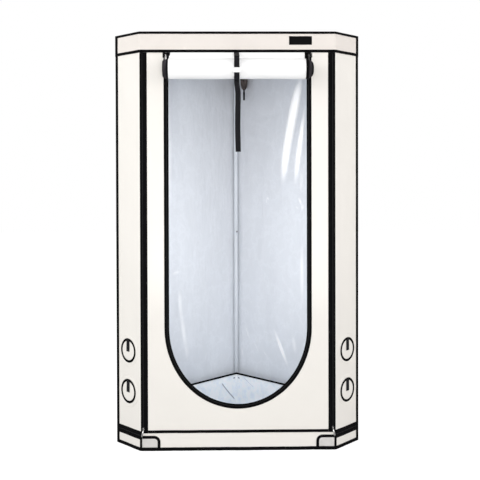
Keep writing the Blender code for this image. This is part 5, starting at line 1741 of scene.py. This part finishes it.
def make_adjuster():
    """A moulded sleeve round the strap: a rounded loop carried up, with a ribbed grip on its face."""
    low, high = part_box("strap_buckle")
    centre, size = (low + high) / 2, (high - low) / 2
    wall, inner_half, rib = 0.0021, 0.0137, 0.00035
    angle = circle(72)
    outer = stack([size.x * squared(cos(angle), 0.22), size.y * squared(sin(angle), 0.45)], -1)
    inner = stack([inner_half * squared(cos(angle), 0.2), (size.y - wall) * squared(sin(angle), 0.4)], -1)
    rise = linspace(-1, 1, 33)
    bulge = 1 - 0.10 * np.abs(rise) ** 6
    grip = rib * (0.5 + 0.5 * cos(tau * rise * 4.5)) * (np.abs(rise) < 0.8)
    outside = outer[None, :, :] * bulge[:, None, None]
    outside[..., 1] += grip[:, None] * clip(-sin(angle), 0, 1)[None, :]
    shell = concatenate([outside, inner[None, :, :] * np.ones((9, 1, 1))])
    z = concatenate([rise, linspace(1, -1, 9)]) * size.z
    height = np.broadcast_to(centre.z + z[:, None, None], shell[..., :1].shape)
    points = concatenate([centre.x + shell[..., :1], centre.y + shell[..., 1:], height], -1)
    buckle = ring("strap_adjuster", points, buckle_plastic())
    settle(buckle, "white_plastic", "strap_buckle", body="strap_buckle")


class TENT_OT_strap(bpy.types.Operator):
    """The webbing loop round the roll, its adjuster and its hanging end"""

    bl_idname = "tent.strap"
    bl_label = "Strap and adjuster"

    def execute(self, context):
        joint = next(joint for joint in frame["joints"] if joint["name"] == "strap_tail_swing")
        middle = FRONT_Y - joint["pos_m"][1]
        strap_loop(middle)
        low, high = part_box("strap_tail")
        share = linspace(0, 1, 60)
        tail_out = middle + TAIL_SWAY * sin(tau * share) * share
        aside = TAIL_ASIDE * smooth(share, 0, 0.2) * (1 - 0.35 * bump_at(share, 0.62, 0.25))
        tail = webbing_line("strap_tail_webbing", tail_out, lerp(high.z, low.z, share), aside)
        settle(tail, "black_tape", "strap_tail", body="strap_tail")
        make_adjuster()
        return {"FINISHED"}


def webbing_measure(across, along):
    """A flat webbing's map: across it and back to the start of its section, and along it."""
    return stack(broadcast_arrays(np.append(across, across[0])[None, :], along[:, None]), -1)


# Duct ports


def port_point(side, level):
    """Turns across, up and out at a port into a point, from the middle of the narrow side."""
    x, y, angle = station(SIDES[side] * PORT_PLACE)
    way = array([math.cos(angle), math.sin(angle)])
    along = array([-way[1], way[0]])

    def place(across, up, out):
        across, up, out = broadcast_arrays(across, up, out)
        plane = array([x, y]) + across[..., None] * along + out[..., None] * way
        return concatenate([plane, (PORT_HEIGHTS[level] + up)[..., None]], -1)

    return place


def port_lid(place, key):
    """A disc, slightly domed and uneven round its middle."""
    dome, uneven = 0.0004, 0.00025
    angle, share = circle(72), linspace(0, 1, 15)[:, None]
    radius = PORT_COVER_RADIUS * share
    rise = dome * (1 - share ** 2) + uneven * sin(3 * angle + 1.0) * share * (1 - share) * 4
    points = place(radius * cos(angle), radius * sin(angle), BAND_OUT + rise)
    lid = surface(f"port_lid_{key}", points, (False, True), None, False, (cover_cloth(),))
    weld(lid.data, False)
    walled(outward(lid), FABRIC * 0.9)
    settle(lid, "cover_fabric", f"port_cover_{key}", body=f"port_cover_{key}")


def port_rim(place, key):
    """A rounded rim carried round the disc, and a webbing tab that hangs from its top and lifts a little."""
    angle, section = circle(72)[:, None], circle(18)[None, :]
    inside = PORT_COVER_RADIUS + GAP
    middle, half = inside + PORT_RIM_WIDTH / 2, PORT_RIM_WIDTH / 2 + PORT_RIM_SPREAD
    away = middle + half * squared(cos(section), 0.55)
    rise = BAND_IN + PORT_RIM_THICKNESS / 2 * (1 + squared(sin(section), 0.55))
    rim = ring(f"port_binding_{key}", place(away * cos(angle), away * sin(angle), rise), black_binding())
    settle(rim, "black_tape", f"port_rim_{key}", body=f"port_cover_{key}")
    over, lift, lift_start, lift_end = 0.0006, 0.0004, 0.01, 0.05
    across, up = pill(PORT_TAB_WIDTH, TAPE, 18, 7)
    height = linspace(middle, inside - PORT_TAB_DROP, 30)
    run = middle - height
    out = BAND_OUT + GAP + over + (lift * smooth(run, lift_start, lift_end))[:, None] + up[None, :]
    points = place(across[None, :], height[:, None], out)
    tab = rod(f"port_tab_{key}", points, webbing(), webbing_measure(across, run))
    settle(tab, "black_tape", body=f"port_cover_{key}")


def port_collar(place, key):
    """A thin ring of cloth with a stitched groove round the rim, and a short cloth tube behind the hole."""
    angle, share = circle(72)[:, None], linspace(0, 1, 26)[None, :]
    inner = PORT_COVER_RADIUS + PORT_RIM_WIDTH + PORT_RIM_SPREAD + 2 * GAP
    away = lerp(inner, PORT_STITCH_RADIUS, share)
    rise = COLLAR_RISE * smooth(share, 0.0, 0.1) * (1 - smooth(share, 0.9, 1.0))
    rise = rise - 0.85 * COLLAR_RISE * bump_at(away, PORT_STITCH_RADIUS - PORT_STITCH_INSET, STITCH_WIDTH)
    points = place(away * cos(angle), away * sin(angle), PANEL_OUT + COLLAR_START + rise)
    collar = surface(f"port_collar_{key}", points, (True, False), None, False, (cover_cloth(),))
    walled(outward(collar), FABRIC * 0.3)
    settle(collar, "cover_fabric")
    centre = place(0.0, 0.0, PANEL_IN)
    way = Vector(place(0.0, 0.0, 0.0) - centre)
    radius, length = PORT_BORE + FABRIC * 1.5, PORT_SLEEVE_LENGTH - FABRIC
    soft_sleeve(f"port_sleeve_{key}", centre, way, (0, 0, 1), radius, length, 72)


class TENT_OT_ports(bpy.types.Operator):
    """Round duct port covers with their rims, tabs, stitched collars and inner sleeves"""

    bl_idname = "tent.ports"
    bl_label = "Duct ports"

    def execute(self, context):
        for side in SIDES:
            for level in PORT_HEIGHTS:
                place, key = port_point(side, level), f"{side}_{level}"
                port_lid(place, key)
                port_rim(place, key)
                port_collar(place, key)
        return {"FINISHED"}


def pleats(along, angle):
    """Radius share of pleats that deepen down the sleeve and again down its end."""
    drop = CABLE_SLEEVE_DROP
    depth = 0.05 + 0.16 * smooth(along, 0, drop) + 0.10 * smooth(along, drop, drop + CABLE_SLEEVE_END_LENGTH)
    return 1 - depth * (0.5 + 0.5 * sin(9 * angle + 1.3 * sin(2 * angle)))


class TENT_OT_cable_sleeve(bpy.types.Operator):
    """The dark cable sleeve behind the right wall, hanging down and drawn shut above its thin end"""

    bl_idname = "tent.cable_sleeve"
    bl_label = "Cable sleeve"

    def execute(self, context):
        x, y, angle = station(BACK_TURN[0] - CABLE_FROM_CORNER)
        way, height = array([math.cos(angle), math.sin(angle)]), ROOF_TOP - CABLE_BELOW_ROOF
        radius, cloth = CABLE_SLEEVE_RADIUS - GAP, dark_sleeve_cloth()
        out = PANEL_IN - GAP
        collar = [(0.0, radius * 0.98), (0.0, radius)]
        collar += [(CABLE_SLEEVE_ROOT * part, radius * (1 - 0.08 * part)) for part in linspace(0, 1, 9)[1:]]
        centre = array([x, y]) + way * out
        centre = (*centre, height)
        root = lathe("cable_sleeve_root", centre, (*-way, 0), (0, 0, 1), collar, 64, cloth, gathered)
        settle(root, "dark_mesh", "cable_sleeve")
        top = (*(array([x, y]) + way * (out - CABLE_SLEEVE_RADIUS)), height)
        drop, end_radius = CABLE_SLEEVE_DROP, CABLE_SLEEVE_END_RADIUS
        down = linspace(0, 1, 19)[1:]
        narrowing = radius * 0.98 - (radius - CABLE_SLEEVE_MOUTH) * down ** 1.3
        rounded = np.sqrt(clip(1 - ((down - 0.72) / 0.28).clip(0, 1) ** 2.4, 0, 1))
        shoulder = np.sqrt(1 - (1 - minimum(down / 0.1, 1)) ** 2)
        profile = zip(drop * down, maximum(narrowing * rounded * shoulder, end_radius))
        body = lathe("cable_sleeve_body", top, (0, 0, -1), (1, 0, 0), profile, 88, cloth, pleats)
        settle(body, "dark_mesh", "cable_sleeve")
        end = linspace(0, 1, 12)
        profile = zip(
            drop - end_radius + (CABLE_SLEEVE_END_LENGTH + end_radius) * end,
            end_radius * (1.0 - 0.32 * bump_at(end, 0.18, 0.10) - 0.10 * end),
        )
        tied = lathe("cable_sleeve_end", top, (0, 0, -1), (1, 0, 0), profile, 40, black_binding(), pleats)
        settle(tied, "black_tape", "cable_sleeve")
        return {"FINISHED"}


# The floor tray


def inset_outline(distance):
    """The five corners moved in by a distance, with points between them and corners rounded by parabolas."""
    corners = array(AXES)
    before = corners - np.roll(corners, 1, axis=0)
    after = np.roll(corners, -1, axis=0) - corners
    normals = [
        stack([way[:, 1], -way[:, 0]], -1) / norm(way, axis=1)[:, None] for way in (before, after)
    ]
    points = corners - sum(normals) * distance / (1 + (normals[0] * normals[1]).sum(1, keepdims=True))
    way = np.roll(points, -1, axis=0) - points
    length = norm(way, axis=1)
    way = way / length[:, None]
    runs = []
    for index, point in enumerate(points):
        start = point + way[index] * TRAY_CORNER
        end = point + way[index] * (length[index] - TRAY_CORNER)
        share = linspace(0, 1, math.ceil(norm(after[index]) / TAPE_STEP))[:, None]
        runs.append(lerp(start, end, share))
        following = (index + 1) % len(points)
        finish = points[following] + way[following] * TRAY_CORNER
        arc = linspace(0, 1, 6)[1:-1, None]
        runs.append((1 - arc) ** 2 * end + 2 * arc * (1 - arc) * points[following] + arc ** 2 * finish)
    return concatenate(runs)


def make_tray():
    """Straight lines from the middle of the floor to its edge, with crossing folds, then up the walls,
    which lean in a little unevenly."""
    lean_in, fold_depth, wrinkle_depth = 0.004, 0.0014, 0.0009
    outline = inset_outline(HUB_RADIUS + GAP + TRAY_WALL * 0.6)
    middle = outline.mean(0)
    bottom, top = WALL_BOTTOM + TRAY_WALL * 0.7, WALL_BOTTOM + TRAY_HEIGHT
    rise = linspace(bottom, top, 15)[:, None]
    length = run_along(*outline.T)[None, :]
    inward = middle - outline
    inward = inward / norm(inward, axis=1)[:, None]
    ripple = 0.5 + 0.5 * sin(length * 19 + 2 * sin(length * 7)) * sin(length * 31 + 1)
    lean = lean_in * sin(pi * (rise - bottom) / (top - bottom)) * ripple
    wall = outline[None, :, :] + lean[..., None] * inward[None, :, :]
    wall = concatenate([wall, np.broadcast_to(rise[..., None], (*lean.shape, 1))], -1)
    shares = linspace(0, 1, 44)[:-1][:, None, None] ** 1.02
    floor = middle * (1 - shares) + outline[None] * shares
    x, y = floor[..., 0], floor[..., 1]
    fold = fold_depth * np.abs(sin(11 * (x + y) + 1.2 * sin(6 * x)) * sin(9 * (x - y) + 0.8))
    wrinkle = wrinkle_depth * (0.5 + 0.5 * sin(37 * x + 5 * sin(13 * y)) * sin(29 * y - 3))
    floor_z = bottom + (fold + wrinkle) * (1 - shares[..., 0] ** 6)
    points = concatenate([concatenate([floor, floor_z[..., None]], -1), wall])
    tray = surface("floor_tray_cloth", points, (False, True), None, False, (tray_film(),))
    weld(tray.data)
    tray.data.flip_normals()
    walled(tray, TRAY_WALL * 0.5, False, 0)
    settle(tray, "reflective_lining", "floor_tray")
    width, deep = 2 * (HALF_SPAN - HUB_RADIUS) + 2 * TRAY_HEIGHT, 2 * BACK_Y + 2 * TRAY_HEIGHT
    area = min(outline_area() + float(length[0, -1]) * TRAY_HEIGHT, width * deep)


def tray_tack(sign, rim_low):
    """A small turned stitch in the tray's back corner."""
    back = BACK_Y - TACK_FROM_CORNER - (PANEL_IN + TRAY_RIM_WIDTH) * math.sqrt(2)
    middle = (sign * TACK_FROM_CORNER, back, rim_low - TACK_BELOW_RIM)
    name = f"tray_tack_{sign + 1}"
    settle(lathe(name, middle, (sign, -1, 0), (0, 0, 1), TACK_PROFILE, 16, black_binding()), "black_tape")


def tray_rim(low, high):
    """A rounded tape over the tray's edge: its section at each distance in from the outline."""
    outer, inner = PANEL_IN, PANEL_IN + TRAY_RIM_WIDTH
    side, shoulder, top, foot = 0.0008, 0.0010, 0.0002, 0.0006
    near, far = 0.0005, 0.0015
    section = [
        (outer, low + side), (outer, high - shoulder), (outer + near, high - top), (outer + far, high),
        (inner - near, high - top), (inner, high - shoulder), (inner, low + side), (inner - foot, low),
        (outer + foot, low),
    ]
    rings = stack([inset_outline(distance) for distance, _ in section], 1)
    heights = np.broadcast_to(array([z for _, z in section])[None, :, None], (*rings.shape[:2], 1))
    rim = ring("tray_rim_binding", concatenate([rings, heights], -1), black_binding())
    settle(rim, "black_tape", "tray_binding")


class TENT_OT_tray(bpy.types.Operator):
    """The soft floor tray and its bound rim"""

    bl_idname = "tent.tray"
    bl_label = "Floor tray"

    def execute(self, context):
        make_tray()
        low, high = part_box("tray_binding")
        for sign in SIDES.values():
            tray_tack(sign, low.z)
        tray_rim(low.z, high.z)
        return {"FINISHED"}


# The stage


def make_sky(scene, stage):
    """An even sky that the camera, mirrors and glass see as white."""
    world = bpy.data.worlds.new("studio")
    world.use_nodes = True
    tree = world.node_tree
    tree.nodes.clear()
    path = tree.nodes.new("ShaderNodeLightPath")
    light, white = (tree.nodes.new("ShaderNodeBackground") for _ in range(2))
    seen = path.outputs["Is Camera Ray"]
    for ray in ("Is Glossy Ray", "Is Transmission Ray"):
        either = tree.nodes.new("ShaderNodeMath")
        either.operation = "MAXIMUM"
        tree.links.new(seen, either.inputs[0])
        tree.links.new(path.outputs[ray], either.inputs[1])
        seen = either.outputs[0]
    light.inputs["Strength"].default_value = stage.sky
    light.inputs["Color"].default_value = (0.98, 0.99, 1.0, 1)
    white.inputs["Color"].default_value = (1, 1, 1, 1)
    mix, out = tree.nodes.new("ShaderNodeMixShader"), tree.nodes.new("ShaderNodeOutputWorld")
    for index, output in enumerate((seen, light.outputs[0], white.outputs[0])):
        tree.links.new(output, mix.inputs[index])
    tree.links.new(mix.outputs[0], out.inputs[0])
    scene.world = world


def white_floor():
    """A wide floor; the camera also sees a little light of its own, so that it reads as white."""
    mesh = bpy.data.meshes.new("studio_floor")
    corners = [(x * FLOOR_REACH, y * FLOOR_REACH, 0) for x, y in ((-1, -1), (1, -1), (1, 1), (-1, 1))]
    mesh.from_pydata(corners, [], [(0, 1, 2, 3)])
    obj = added("studio_floor", mesh)
    obj.location.z = -FLOOR_DROP
    finish = Finish("studio_white", (0.5, 0.5, 0.5), 0.9)
    path = finish.node("ShaderNodeLightPath", output="Is Camera Ray")
    glow = finish.node("ShaderNodeEmission", None, {"Color": (1, 1, 1), "Strength": path * 0.72})
    both = finish.node("ShaderNodeAddShader", None, {0: finish.shader.outputs[0], 1: glow})
    finish.set(finish.nodes["Material Output"], {"Surface": both})
    mesh.materials.append(finish.material)


def add_lamp(name, power, place, target, width, tall, colour, seen):
    data = bpy.data.lights.new(name, "AREA")
    data.shape = "ELLIPSE" if tall else "DISK"
    data.size, data.energy, data.color = width, power, colour
    if tall:
        data.size_y = tall
    obj = added(name, data)
    obj.visible_camera = seen
    obj.location = place
    obj.rotation_euler = (Vector(target) - Vector(place)).to_track_quat("-Z", "Y").to_euler()


def add_camera(scene, stage):
    data = bpy.data.cameras.new("picture_camera")
    data.sensor_width = 36
    data.lens = data.sensor_width * stage.focus / PICTURE_SIZE
    data.shift_x, data.shift_y = stage.aside / PICTURE_SIZE, stage.rise / PICTURE_SIZE
    data.clip_end = 100
    obj = added("picture_camera", data)
    obj.location = stage.camera
    obj.rotation_euler = (pi / 2 - stage.pitch, stage.lean, stage.yaw)
    scene.camera = obj


class TENT_OT_stage(bpy.types.Operator):
    """White floor, soft lamps, even sky and the camera at the picture's angle"""

    bl_idname = "tent.stage"
    bl_label = "Stage"

    def execute(self, context):
        stage = context.scene.tent_stage
        make_sky(context.scene, stage)
        white_floor()
        for name, lamp in LAMPS.items():
            add_lamp(name, getattr(stage, name.split("_")[0]), *lamp)
        add_camera(context.scene, stage)
        context.scene.view_settings.view_transform = "Standard"
        return {"FINISHED"}


PIECES = (
    TENT_OT_tubes, TENT_OT_panels, TENT_OT_top_band, TENT_OT_bindings, TENT_OT_patches, TENT_OT_zips,
    TENT_OT_sliders, TENT_OT_rolled_door, TENT_OT_strap, TENT_OT_ports, TENT_OT_cable_sleeve, TENT_OT_tray,
    TENT_OT_stage,
)


class TENT_PT_panel(bpy.types.Panel):
    """Lists the tent's sizes, colours and pieces"""

    bl_idname = "TENT_PT_panel"
    bl_label = "Grow Tent"
    bl_space_type = "VIEW_3D"
    bl_region_type = "UI"
    bl_category = "Grow Tent"

    def draw(self, context):
        for group in (context.scene.tent_looks, context.scene.tent_stage):
            box = self.layout.box()
            for name in group.__annotations__:
                box.prop(group, name)
        column = self.layout.column()
        for piece in PIECES:
            column.operator(piece.bl_idname)


CLASSES = (Looks, StageSizes, *PIECES, TENT_PT_panel)


def register():
    for item in CLASSES:
        bpy.utils.register_class(item)
    bpy.types.Scene.tent_looks = PointerProperty(type=Looks)
    bpy.types.Scene.tent_stage = PointerProperty(type=StageSizes)


def unregister():
    del bpy.types.Scene.tent_stage
    del bpy.types.Scene.tent_looks
    for item in reversed(CLASSES):
        bpy.utils.unregister_class(item)


def main():
    register()
    for piece in PIECES:
        group, name = piece.bl_idname.split(".")
        getattr(getattr(bpy.ops, group), name)()


if __name__ == "__main__":
    main()
